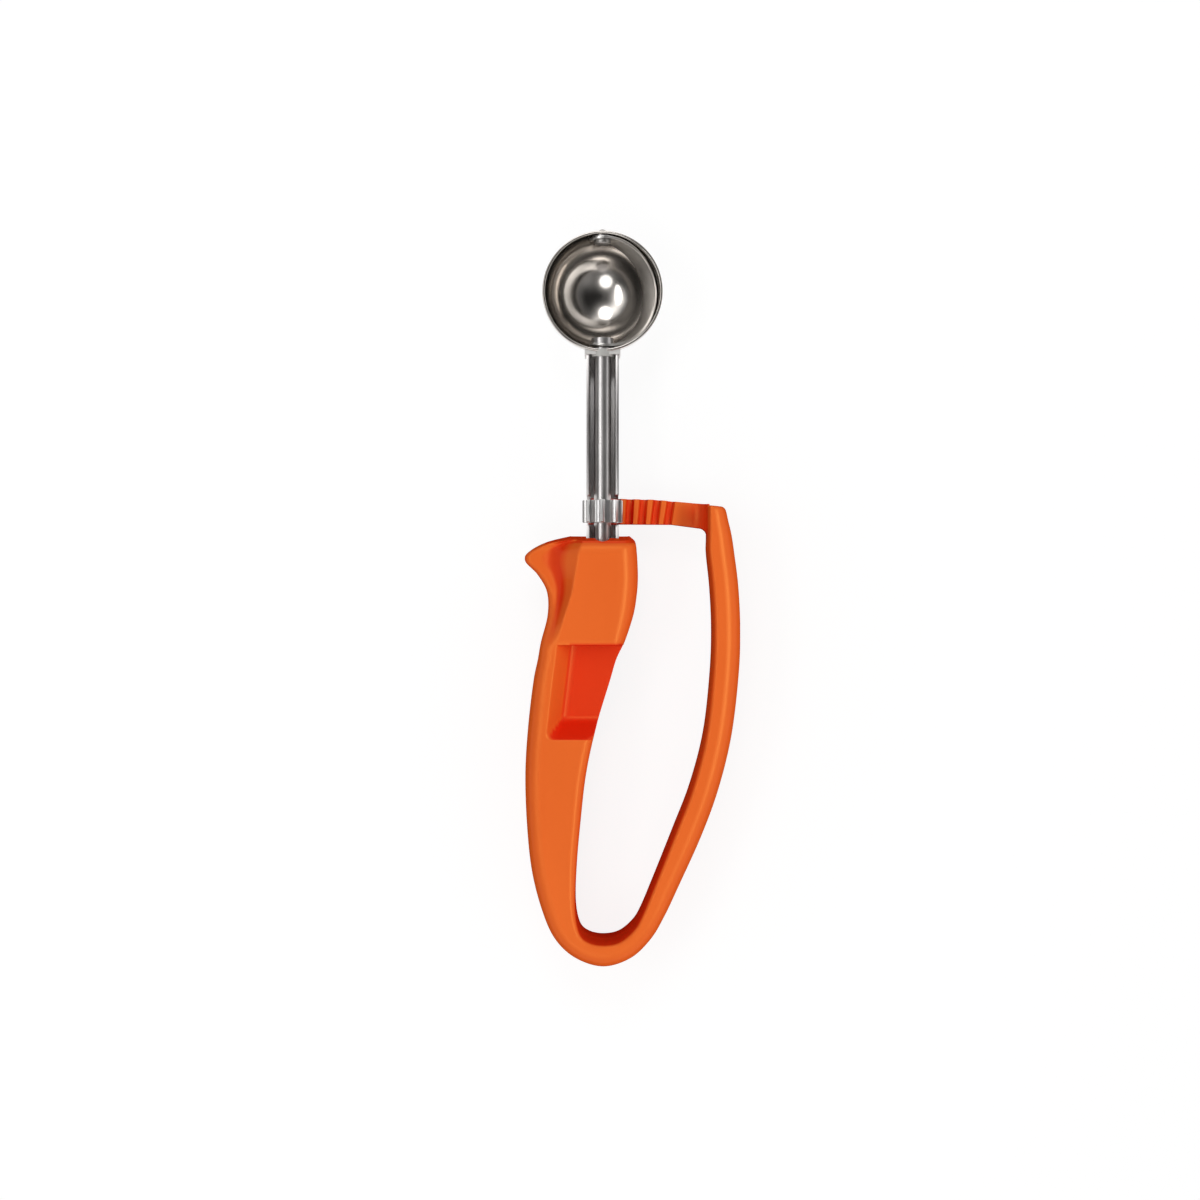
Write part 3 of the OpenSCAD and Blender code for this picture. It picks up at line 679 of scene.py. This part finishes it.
def rack_gap(index):
    """The tool that cuts one gap of the rack, square to the lever's swing."""
    angle = -2 * math.pi / CROWN_TEETH * (index - FRONT_TOOTH * TOOTH_COUNT / 360)
    half = TOOTH_PITCH / 4 + GAP_SPREAD
    lean = math.tan(PRESSURE)
    outline = [(-half + lean * GAP_ROOT, -GAP_ROOT), (half - lean * GAP_ROOT, -GAP_ROOT),
               (half + lean * TOOL_OVER, TOOL_OVER), (-half - lean * TOOL_OVER, TOOL_OVER)]
    rings = []
    for reach in (PINION_Y - HINGE_Y - TOOL_HALF, PINION_Y - HINGE_Y + TOOL_HALF):
        rings.append([
            (u * math.cos(angle) - reach * math.sin(angle),
             HINGE_Y + u * math.sin(angle) + reach * math.cos(angle), v - PINION_R)
            for u, v in outline
        ])
    return mesh_piece("gap", *looped(rings))


gusset = (ROOT_X - GUSSET_R, ARM_FACE + GUSSET_R)
cut(arm, [
    block("over_arm", (-6, -2, ARM_FACE), (gusset[0], 12, 3)),
    rod_between("gusset", (gusset[0], -2, gusset[1]), (gusset[0], 12, gusset[1]), GUSSET_R, 96),
])
cut(arm, [rack_gap(index) for index in range(FIRST_GAP, LAST_GAP + 1)])


def soften(piece, width, segments=2, angle=40):
    """Rounds the piece's sharp edges by a small width in millimetres."""
    edge = piece.modifiers.new("soft_edges", "BEVEL")
    edge.width, edge.segments = width / 1000, segments
    edge.limit_method, edge.angle_limit = "ANGLE", math.radians(angle)
    edge.harden_normals = False
    return piece


soften(arm, 0.22)
settle(arm)
smooth(arm, 40)
arm.data.materials.append(plastic)
arm_shade_amounts = arm.data.attributes.new("painted_shade", "FLOAT", "POINT")

# Where the rack's gaps end, how far under the arm's face the painted shade starts, and the painted shade
# on the flat beside the lever
RACK_REACH = 20
WALL_TOP = 0.5
ROOT_SHADE = 0.7
ROOT_START, ROOT_RUN = 20.5, 3


def arm_painted_shade(point):
    """How much painted shade a point gets: full in a gap of the rack, less on the flat beside the lever.
    """
    offset = (point - handle_top) * 1000
    x, z = offset.dot(to_lever), offset.dot(to_front)
    if x < RACK_REACH and ARM_BACK + 1 < z < ARM_FACE - WALL_TOP:
        return 1.0
    return clamped((x - ROOT_START) / ROOT_RUN) * ROOT_SHADE


# Painted shade on the arm: deep red in the rack's gaps and on the flat beside the lever
arm_shade_amounts.data.foreach_set("value", [arm_painted_shade(v.co) for v in arm.data.vertices])
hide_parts("gear_rack")
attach(arm, "lever")

# --------------------------------------
# Shank. A strip of stainless sheet folded into a deep channel, its legs cut away over the pinion
# so that only its back spans the gap. It is pushed into the handle and held by a cross pin.
# --------------------------------------
SHEET = 0.8
SHANK_FRONT = 2.0
BEND_R = 1.0
LEAST_BEND = 0.05
BOWL_Y = 65.4
BOWL_R = 16.0
BOWL_GAP = 0.7
SHANK_TOP = BOWL_Y - BOWL_R - BOWL_GAP
NOTCH = (3.4, 11.5)


def fold(half, radius, back):
    """One leg, the rounded back and the other leg, as a line of points from left to right."""
    line = [(-half, SHANK_FRONT)]
    line += [(-half + radius * (1 - math.cos(a)), back + radius * (1 - math.sin(a))) for a in arc]
    line += [(half - radius * (1 - math.sin(a)), back + radius * (1 - math.cos(a))) for a in arc]
    return line + [(half, SHANK_FRONT)]


outside = fold(SHANK_HALF, BEND_R, -SHANK_BACK)
inside = fold(SHANK_HALF - SHEET, BEND_R - SHEET + LEAST_BEND, SHEET - SHANK_BACK)
channel_line = outside + inside[::-1]
channel = mesh_piece(
    "folded_shank",
    *looped([[(x, y, z) for x, z in channel_line] for y in (-SHANK_IN, SHANK_TOP)]))
cut(channel, [
    block("notch", (-6, NOTCH[0], SHEET - SHANK_BACK), (6, NOTCH[1], 6)),
    rod_between("pin_hole", (-6, CROSS_PIN_Y, CROSS_PIN_Z), (6, CROSS_PIN_Y, CROSS_PIN_Z), CROSS_PIN_R),
])
soften(channel, 0.1, 2, 50)
settle(channel)
smooth(channel, 30)


def steel_finish(name, colour, roughness, stretch, scale=900.0, depth=0.0000008, spread=0.04):
    """Bare stainless steel with fine lines drawn out along one direction."""
    finish, tree, shader = new_finish(name, Metallic=1.0)
    lines = grain(tree, scale, 3, stretch)
    cloud = grain(tree, 90, 2)
    dark = tuple(c * 0.86 for c in colour)
    tree.links.new(ramp(tree, cloud, [(0.3, dark), (0.7, colour)]), shader.inputs["Base Color"])
    tree.links.new(
        ramp(tree, lines, [(0.3, grey(roughness - spread)), (0.7, grey(roughness + spread))]),
        shader.inputs["Roughness"])
    bumped(tree, shader, lines, depth, 0.3)
    return finish


brushed_sheet = steel_finish("brushed_sheet_steel", (0.64, 0.62, 0.61), 0.33, (1, 0.004, 1), 5200)
channel.data.materials.append(brushed_sheet)
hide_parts("shank_channel")
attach(channel, "handle")


def dress(node, finish, width=None, segments=2):
    """Gives a carried-over node its finish and, where asked, softened edges."""
    piece = frame["nodes"][node]
    piece.data.materials.clear()
    piece.data.materials.append(finish)
    if width:
        soften(piece, width, segments)
    return piece


drawn_bar = steel_finish("drawn_bar_steel", (0.66, 0.64, 0.63), 0.36, (1, 0.006, 1), 4800)
dress("shank_pin", drawn_bar, 0.2)

# --------------------------------------
# Bowl. A half-sphere with a short straight rim, deep drawn from stainless sheet and polished
# inside and out; faint turning marks run round it. The rod and the tip pin pass through its wall.
# --------------------------------------
WALL = 0.75
RIM_H = 2.8
LIP_R = 0.3


def lathe(name, profile, centre, axis, segments=96):
    """A turned piece: (radius, height) points spun about an axis through the centre."""
    axis = np.array(axis, float)
    side = np.array([1.0, 0, 0]) if abs(axis[0]) < 0.5 else np.array([0, 0, 1.0])
    other = np.cross(axis, side)
    rings = []
    for radius, height in profile:
        base = np.array(centre, float) + axis * height
        rings.append([
            tuple(base + radius * (side * math.cos(a) + other * math.sin(a)))
            for a in (2 * math.pi * k / segments for k in range(segments))
        ])
    return mesh_piece(name, *looped(rings, closed_ends=False))


inner_r = BOWL_R - WALL
quarter = [math.radians(a) for a in np.linspace(0, 90, 49)]
bowl_profile = [(inner_r * math.sin(a), -inner_r * math.cos(a)) for a in quarter]
bowl_profile += [(inner_r, RIM_H * k / 4) for k in (1, 2, 3)]
bowl_profile += [(inner_r + LIP_R * (1 - math.cos(a)), RIM_H - LIP_R * (1 - math.sin(a))) for a in arc]
bowl_profile += [(BOWL_R - LIP_R * (1 - math.sin(a)), RIM_H - LIP_R * (1 - math.cos(a))) for a in arc]
bowl_profile += [(BOWL_R, RIM_H * k / 4) for k in (3, 2, 1)]
bowl_profile += [(BOWL_R * math.sin(a), -BOWL_R * math.cos(a)) for a in quarter[::-1]]
bowl = lathe("drawn_bowl", bowl_profile, (0, BOWL_Y, 0), (0, 0, 1), 160)
smooth(bowl, 60)


def turned_finish(name, colour, roughness, centre, axis):
    """Polished steel with faint marks that run round an axis."""
    finish, tree, shader = new_finish(name, Metallic=1.0)
    spot = add_node(tree, "ShaderNodeTexCoord")
    away = add_node(tree, "ShaderNodeVectorMath", operation="SUBTRACT")
    away.inputs[1].default_value = centre
    cross = add_node(tree, "ShaderNodeVectorMath", operation="CROSS_PRODUCT")
    cross.inputs[1].default_value = axis
    reach = add_node(tree, "ShaderNodeVectorMath", operation="LENGTH")
    marks = add_node(tree, "ShaderNodeTexNoise", noise_dimensions="1D", Scale=2400.0, Detail=3.0)
    tree.links.new(spot.outputs["Object"], away.inputs[0])
    tree.links.new(away.outputs[0], cross.inputs[0])
    tree.links.new(cross.outputs[0], reach.inputs[0])
    tree.links.new(reach.outputs["Value"], marks.inputs["W"])
    cloud = grain(tree, 120, 2)
    dark = tuple(c * 0.9 for c in colour)
    tree.links.new(ramp(tree, cloud, [(0.3, dark), (0.7, colour)]), shader.inputs["Base Color"])
    tree.links.new(
        ramp(tree, marks.outputs["Fac"], [(0.3, grey(roughness * 0.85)), (0.7, grey(roughness * 1.15))]),
        shader.inputs["Roughness"])
    bumped(tree, shader, marks.outputs["Fac"], 0.0000015, 0.5)
    return finish


polished = turned_finish(
    "polished_drawn_steel", (0.68, 0.64, 0.60), 0.13, place(0, BOWL_Y, 0), to_front)
bowl.data.materials.append(polished)
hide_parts("bowl")
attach(bowl, "handle")

# --------------------------------------
# Collar and bushes. A bright pressed collar holds the shank against the bowl; a nylon bush in it
# carries the rod's upper end, and a nylon block in the channel carries its lower end.
# --------------------------------------
bright_sheet = steel_finish("polished_sheet_steel", (0.86, 0.84, 0.82), 0.55, (1, 1, 0.05), 1800)
dress("bowl_collar", bright_sheet, 0.25)

nylon, tree, shader = new_finish("white_nylon", Roughness=0.45)
cast = grain(tree, 260, 3)
tree.links.new(
    ramp(tree, cast, [(0.3, (0.58, 0.57, 0.54)), (0.7, (0.64, 0.63, 0.60))]), shader.inputs["Base Color"])
bumped(tree, shader, grain(tree, 3000, 2), 0.00001, 0.3)
dress("upper_bush", nylon, 0.15)
dress("lower_bush", nylon, 0.15)

# --------------------------------------
# Rod and pinion. A drawn steel rod runs up the channel in two bushes, between thin washers and a
# clip. A wide eight-tooth pinion is pressed on it just above the handle.
# --------------------------------------
ROD_R = 2.25
ROD_CHAMFER = 0.3
SPIGOT_R = 1.5
SPIGOT_CHAMFER = 0.2
# The strip that the rod carries: its half width, thickness and gap to the bowl
BLADE_HALF = 3.4
BLADE_T = 0.6
BLADE_GAP = 0.25
BLADE_R = math.sqrt((inner_r - BLADE_GAP) ** 2 - BLADE_HALF ** 2)
blade_low = BOWL_Y - BLADE_R
# Down from the pinion: the lower bush between two washers, the clip in its groove, the rod's end
BUSH_TOP = -1.8
BUSH_LENGTH = 8
END_PLAY = 0.1
WASHER_T = 0.5
RING_T = 0.6
GROOVE = 0.45
ROD_STAND = 0.9
rod_low = BUSH_TOP - BUSH_LENGTH - 2 * END_PLAY - WASHER_T - RING_T - ROD_STAND
ring_y = rod_low + ROD_STAND
spigot_top = blade_low + BLADE_T + 2.0
rod_profile = [
    (0, rod_low), (ROD_R - ROD_CHAMFER, rod_low), (ROD_R, rod_low + ROD_CHAMFER),
    (ROD_R, ring_y), (ROD_R - GROOVE, ring_y), (ROD_R - GROOVE, ring_y + RING_T), (ROD_R, ring_y + RING_T),
    *[(ROD_R, y) for y in np.linspace(ring_y + RING_T + 1, blade_low - SLIP - SPIGOT_CHAMFER, 12)],
    (ROD_R - SPIGOT_CHAMFER, blade_low - SLIP), (SPIGOT_R, blade_low - SLIP),
    (SPIGOT_R, spigot_top - SPIGOT_CHAMFER), (SPIGOT_R - SPIGOT_CHAMFER, spigot_top), (0, spigot_top),
]
rod = lathe("drive_shaft", rod_profile, (0, 0, 0), (0, 1, 0), 96)
smooth(rod, 35)
rod.data.materials.append(drawn_bar)
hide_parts("drive_rod")
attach(rod, "scraper")

base_r = PINION_R * math.cos(PRESSURE)
TIP_R = PINION_R + 0.9
ROOT_R = PINION_R - 1.05
TOOTH_THIN = 0.25
ROOT_FLARE = 1.02
GAP_FLOOR = 0.8
FACE_WIDTH = 6.0
FLANK_STEPS = 6
END_CHAMFER = 0.22


def half_tooth(radius):
    """Half of a tooth's angle at a radius, on an involute flank."""
    a = math.acos(min(base_r / radius, 1))
    return ((TOOTH_PITCH / 2 - TOOTH_THIN) / 2 / PINION_R + (math.tan(PRESSURE) - PRESSURE)
            - (math.tan(a) - a))


def pinion_outline(inset):
    """(radius, angle) points round the pinion, pulled in at the tips by the inset."""
    outline = []
    for k in range(TOOTH_COUNT):
        middle = math.radians(FRONT_TOOTH + 360 / TOOTH_COUNT * k)
        radii = [base_r + (TIP_R - base_r) * j / FLANK_STEPS for j in range(FLANK_STEPS + 1)]
        left = [(r, middle - half_tooth(r)) for r in radii]
        right = [(r, middle + half_tooth(r)) for r in reversed(radii)]
        gap = math.radians(360 / TOOTH_COUNT) / 2
        foot = half_tooth(base_r) * ROOT_FLARE
        before = [(ROOT_R, middle - gap), (ROOT_R, middle - gap * GAP_FLOOR), (ROOT_R, middle - foot)]
        after = [(ROOT_R, middle + foot), (ROOT_R, middle + gap * GAP_FLOOR)]
        outline += before + left + right + after
    return [(min(r, TIP_R - inset), a) for r, a in outline]


pinion_low = PINION_Y - FACE_WIDTH / 2
levels = [(pinion_low, END_CHAMFER), (pinion_low + END_CHAMFER, 0.0),
          (pinion_low + FACE_WIDTH - END_CHAMFER, 0.0), (pinion_low + FACE_WIDTH, END_CHAMFER)]
pinion_rings = [[(ROD_R * math.sin(a), pinion_low, ROD_R * math.cos(a)) for _, a in pinion_outline(0)]]
for y, inset in levels:
    pinion_rings.append([(r * math.sin(a), y, r * math.cos(a)) for r, a in pinion_outline(inset)])
pinion_rings += [[(x, pinion_low + FACE_WIDTH, z) for x, y, z in pinion_rings[0]]]
pinion_rings += [pinion_rings[0]]
pinion = mesh_piece("toothed_pinion", *looped(pinion_rings, closed_ends=False))
soften(pinion, 0.07, 2, 35)
settle(pinion)
smooth(pinion, 35)
cut_steel = steel_finish("tumbled_cut_steel", (0.74, 0.73, 0.72), 0.36, (1, 0.02, 1), 4200)
pinion.data.materials.append(cut_steel)
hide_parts("pinion")
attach(pinion, "scraper")

for node in ("upper_washer", "lower_washer", "retaining_ring"):
    dress(node, drawn_bar, 0.06)

# --------------------------------------
# Scraper. A strip of spring steel bent to a half ring that sweeps round inside the bowl. A small
# boss locks it on the rod; a headed pin through the bowl's wall carries its far end.
# --------------------------------------
REST = math.radians(27)
END_STEPS = 10
LEAST_WIDTH = 0.02


def blade_ring(turn, width_here):
    """Round the strip's section at an angle along its bend, from the rod's end to the tip."""
    half = BLADE_HALF if abs(turn) < math.pi / 2 else width_here
    section = []
    for radius, width in ((BLADE_R, half), (BLADE_R - BLADE_T, half)):
        for step in np.linspace(-1, 1, 9):
            across = width * step * (1 if radius == BLADE_R else -1)
            section.append((radius * math.cos(turn), radius * math.sin(turn), across))
    return section


end_turn = math.asin(BLADE_HALF / BLADE_R)
turns = [(-math.pi / 2 - end_turn * math.cos(math.pi / 2 * k / END_STEPS),
          BLADE_HALF * math.sin(math.pi / 2 * k / END_STEPS)) for k in range(END_STEPS)]
turns += [(a, BLADE_HALF) for a in np.linspace(-math.pi / 2, math.pi / 2, 73)[1:-1]]
turns += [(-turn, width) for turn, width in reversed(turns[:END_STEPS])]
strip = []
for turn, width in turns:
    strip.append([
        (x * math.cos(REST) + z * math.sin(REST), BOWL_Y + y, z * math.cos(REST) - x * math.sin(REST))
        for x, y, z in blade_ring(turn, max(width, LEAST_WIDTH))
    ])
blade = mesh_piece("scraper_strip", *looped(strip))
soften(blade, 0.12, 2, 50)
settle(blade)
smooth(blade, 40)
spring_strip = steel_finish("spring_strip_steel", (0.78, 0.76, 0.73), 0.34, (0.2, 0.2, 1), 1500)
blade.data.materials.append(spring_strip)
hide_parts("scraper_blade")
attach(blade, "scraper")

dress("blade_hub", drawn_bar, 0.15)
dress("tip_washer", drawn_bar, 0.05)

TIP_PIN_R = 1.25
TIP_STAND = 0.79
HEAD_R = 2.2
HEAD_T = 1.2
HEAD_CHAMFER = 0.3
HEAD_SHOULDER = 0.15
tip_y = BOWL_Y + BOWL_R + TIP_STAND
head_y = BOWL_Y + BLADE_R - BLADE_T
pin_profile = [(0, head_y - HEAD_T), (HEAD_R - HEAD_CHAMFER, head_y - HEAD_T),
               (HEAD_R, head_y - HEAD_T + HEAD_CHAMFER), (HEAD_R, head_y - HEAD_SHOULDER),
               (TIP_PIN_R, head_y)]
pin_profile += [(TIP_PIN_R * math.cos(a), tip_y - TIP_PIN_R + TIP_PIN_R * math.sin(a)) for a in arc]
tip_pin = lathe("scraper_tip_pin", pin_profile, (0, 0, 0), (0, 1, 0), 64)
smooth(tip_pin, 35)
dull_bar = steel_finish("turned_pin_steel", (0.50, 0.48, 0.46), 0.42, (1, 0.2, 1), 1800)
tip_pin.data.materials.append(dull_bar)
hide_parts("tip_pin")
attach(tip_pin, "scraper")

# --------------------------------------
# Studio. A white table and white surroundings, three soft boxes over the scoop, a narrow one for
# the moulding alone, and a dark hood between them that only gloss and polished metal show.
# --------------------------------------
TABLE = 6.0
corners = [(-TABLE, -TABLE, 0), (TABLE, -TABLE, 0), (TABLE, TABLE, 0), (-TABLE, TABLE, 0)]
table_mesh = bpy.data.meshes.new("table")
table_mesh.from_pydata(corners, [], [(0, 1, 2, 3)])
table = bpy.data.objects.new("table", table_mesh)
bpy.context.scene.collection.objects.link(table)


def seen_directly(tree):
    """1 for rays from the camera, from a mirror-like surface or through glass, and 0 for the rest."""
    path = add_node(tree, "ShaderNodeLightPath")
    mirrored = add_node(tree, "ShaderNodeMath", operation="MAXIMUM")
    either = add_node(tree, "ShaderNodeMath", operation="MAXIMUM")
    tree.links.new(path.outputs["Is Glossy Ray"], mirrored.inputs[0])
    tree.links.new(path.outputs["Is Transmission Ray"], mirrored.inputs[1])
    tree.links.new(path.outputs["Is Camera Ray"], either.inputs[0])
    tree.links.new(mirrored.outputs[0], either.inputs[1])
    return either.outputs[0]


TABLE_GREY = 0.22
TABLE_GLOW = 0.87
white_top, tree, shader = new_finish("white_table", Roughness=0.9)
shader.inputs["Base Color"].default_value = grey(TABLE_GREY)
shader.inputs["Specular IOR Level"].default_value = 0.0
shade_or_glow = add_node(tree, "ShaderNodeMath", operation="MULTIPLY")
shade_or_glow.inputs[1].default_value = TABLE_GLOW
tree.links.new(seen_directly(tree), shade_or_glow.inputs[0])
shader.inputs["Emission Color"].default_value = grey(1.0)
tree.links.new(shade_or_glow.outputs[0], shader.inputs["Emission Strength"])
table_mesh.materials.append(white_top)

# White where it is seen or mirrored; a plain level of light for the rest, more of it from low down
ROOM_LIGHT = 0.12
LOW_LIGHT = 0.8
LIGHTER_SIDE = (0.05, -0.35, 0.0)
world = bpy.data.worlds.new("studio")
bpy.context.scene.world = world
world.use_nodes = True
tree = world.node_tree
background = tree.nodes["Background"]
background.inputs["Color"].default_value = grey(1.0)
way = add_node(tree, "ShaderNodeTexCoord")
toward = add_node(tree, "ShaderNodeVectorMath", operation="DOT_PRODUCT")
toward.inputs[1].default_value = LIGHTER_SIDE
upward = add_node(tree, "ShaderNodeVectorMath", operation="DOT_PRODUCT")
upward.inputs[1].default_value = (0, 0, 1)
low = add_node(tree, "ShaderNodeMapRange")
for socket, value in (("To Min", ROOM_LIGHT + LOW_LIGHT), ("To Max", ROOM_LIGHT)):
    low.inputs[socket].default_value = value
sided = add_node(tree, "ShaderNodeMath", operation="ADD")
sided.inputs[1].default_value = 1.0
room = add_node(tree, "ShaderNodeMath", operation="MULTIPLY")
strength = add_node(tree, "ShaderNodeMix")
strength.inputs[3].default_value = 1.0
tree.links.new(way.outputs["Generated"], toward.inputs[0])
tree.links.new(way.outputs["Generated"], upward.inputs[0])
tree.links.new(upward.outputs["Value"], low.inputs["Value"])
tree.links.new(toward.outputs["Value"], sided.inputs[0])
tree.links.new(sided.outputs[0], room.inputs[0])
tree.links.new(low.outputs["Result"], room.inputs[1])
tree.links.new(seen_directly(tree), strength.inputs[0])
tree.links.new(room.outputs[0], strength.inputs[2])
tree.links.new(strength.outputs[0], background.inputs["Strength"])

# The hood reaches down to a lower angle on the left. Its grey overhead and what is added near its
# edge, there again on the left and on the near side, and overhead on the right
HOOD_R = 1.5
HOOD_LOW = 61.0
HOOD_LEFT = 84.0
HOOD_RINGS = 41
TOP_HOLE = 0.05
AROUND = 72
HOOD_GREY = 0.05
EDGE_START, EDGE_RUN = 35, 25
EDGE_GREY, EDGE_LEFT, EDGE_NEAR = 0.15, -0.2, 0.04
RIGHT_GREY = -0.03
# Soft glows on the hood: lean from upright, angle round from the right, width in degrees and
# brightness. They are round the three lamps, between the left and the far one, past the far one,
# and a faint one on the right
HOOD_GLOWS = [
    (29, 255, 14, 0.9), (33, 180, 13, 0.9), (37, 99, 15, 1.0), (36, 158, 11, 1.3), (37, 128, 11, 1.3),
    (52, 80, 9, 0.8), (40, 316, 15, 0.16),
]


def toward_sky(lean, around):
    """Direction at a lean from upright and an angle round it from the right, both in radians."""
    return Vector((math.sin(lean) * math.cos(around), math.sin(lean) * math.sin(around), math.cos(lean)))


def hood_grey(lean, around):
    """Brightness of the hood at a lean in degrees from upright, and an angle round it from the right."""
    right, near = math.cos(around), -math.sin(around)
    low = clamped((lean - EDGE_START) / EDGE_RUN)
    edge = EDGE_GREY + EDGE_LEFT * max(-right, 0) + EDGE_NEAR * near
    shade = HOOD_GREY + low * edge + RIGHT_GREY * right * (1 - low)
    here = toward_sky(math.radians(lean), around)
    for glow_lean, side, width, brightness in HOOD_GLOWS:
        off = math.degrees(here.angle(toward_sky(math.radians(glow_lean), math.radians(side))))
        shade += brightness * math.exp(-(off / width) ** 2)
    return shade


hood_rings, hood_greys = [], []
for share in np.linspace(0.0, 1.0, HOOD_RINGS):
    ring = []
    for k in range(AROUND):
        around = 2 * math.pi * k / AROUND
        edge = HOOD_LOW + (HOOD_LEFT - HOOD_LOW) * max(-math.cos(around), 0) ** 2
        lean = share * edge + TOP_HOLE
        reach = HOOD_R * math.sin(math.radians(lean))
        height = HOOD_R * math.cos(math.radians(lean))
        ring.append((reach * math.cos(around), reach * math.sin(around), height))
        hood_greys.append(hood_grey(lean, around))
    hood_rings.append(ring)
hood_points, hood_faces = looped(hood_rings, closed_ends=False)
hood_mesh = bpy.data.meshes.new("hood")
hood_mesh.from_pydata(hood_points, [], hood_faces)
hood_mesh.attributes.new("shade", "FLOAT", "POINT").data.foreach_set("value", hood_greys)
hood = bpy.data.objects.new("hood", hood_mesh)
bpy.context.scene.collection.objects.link(hood)
hood.visible_camera = hood.visible_diffuse = hood.visible_shadow = hood.visible_transmission = False
cloth = bpy.data.materials.new("hood_cloth")
cloth.use_nodes = True
tree = cloth.node_tree
tree.nodes.clear()
shine = add_node(tree, "ShaderNodeEmission")
output = add_node(tree, "ShaderNodeOutputMaterial")
shade = add_node(tree, "ShaderNodeAttribute", attribute_name="shade")
tree.links.new(shade.outputs["Fac"], shine.inputs["Strength"])
tree.links.new(shine.outputs[0], output.inputs["Surface"])
hood_mesh.materials.append(cloth)


def soft_box(name, lean, side, reach, width, height, power):
    """A soft lamp over the scoop: its lean from upright, the way it leans, its distance and size."""
    lamp = bpy.data.lights.new(name, "AREA")
    lamp.shape, lamp.size, lamp.size_y, lamp.energy = "ELLIPSE", width, height, power
    holder = bpy.data.objects.new(name, lamp)
    spot = toward_sky(math.radians(lean), math.radians(side))
    holder.location = spot * reach
    holder.rotation_euler = spot.to_track_quat("Z", "Y").to_euler()
    bpy.context.scene.collection.objects.link(holder)
    holder.visible_camera = False
    return holder


soft_box("near_box", 29, 255, 1.0, 0.48, 0.5, 0.85)
soft_box("left_box", 33, 180, 1.0, 0.7, 0.26, 1.1)
soft_box("far_box", 37, 99, 1.0, 0.42, 0.5, 1.2)

# A narrow box on the right is flagged off the metal: it draws the long highlights on the moulding
moulding = bpy.data.collections.new("moulding")
for piece in (handle, arm):
    moulding.objects.link(piece)
soft_box("right_box", 30, 0, 1.0, 0.9, 0.14, 4.0).light_linking.receiver_collection = moulding

# Camera straight over the handle's front face
VIEW_X, VIEW_Y, VIEW_Z = -0.67, -16.5, 550.0
eye = bpy.data.cameras.new("eye")
eye.lens, eye.sensor_width = 61.97, 36.0
eye.clip_start, eye.clip_end = 0.01, 50.0
camera = bpy.data.objects.new("eye", eye)
camera.location = place(VIEW_X, VIEW_Y, VIEW_Z)
camera.rotation_euler = (place(VIEW_X, VIEW_Y, 0) - camera.location).to_track_quat("-Z", "Y").to_euler()
bpy.context.scene.collection.objects.link(camera)
bpy.context.scene.camera = camera
bpy.context.scene.view_settings.view_transform = "Standard"
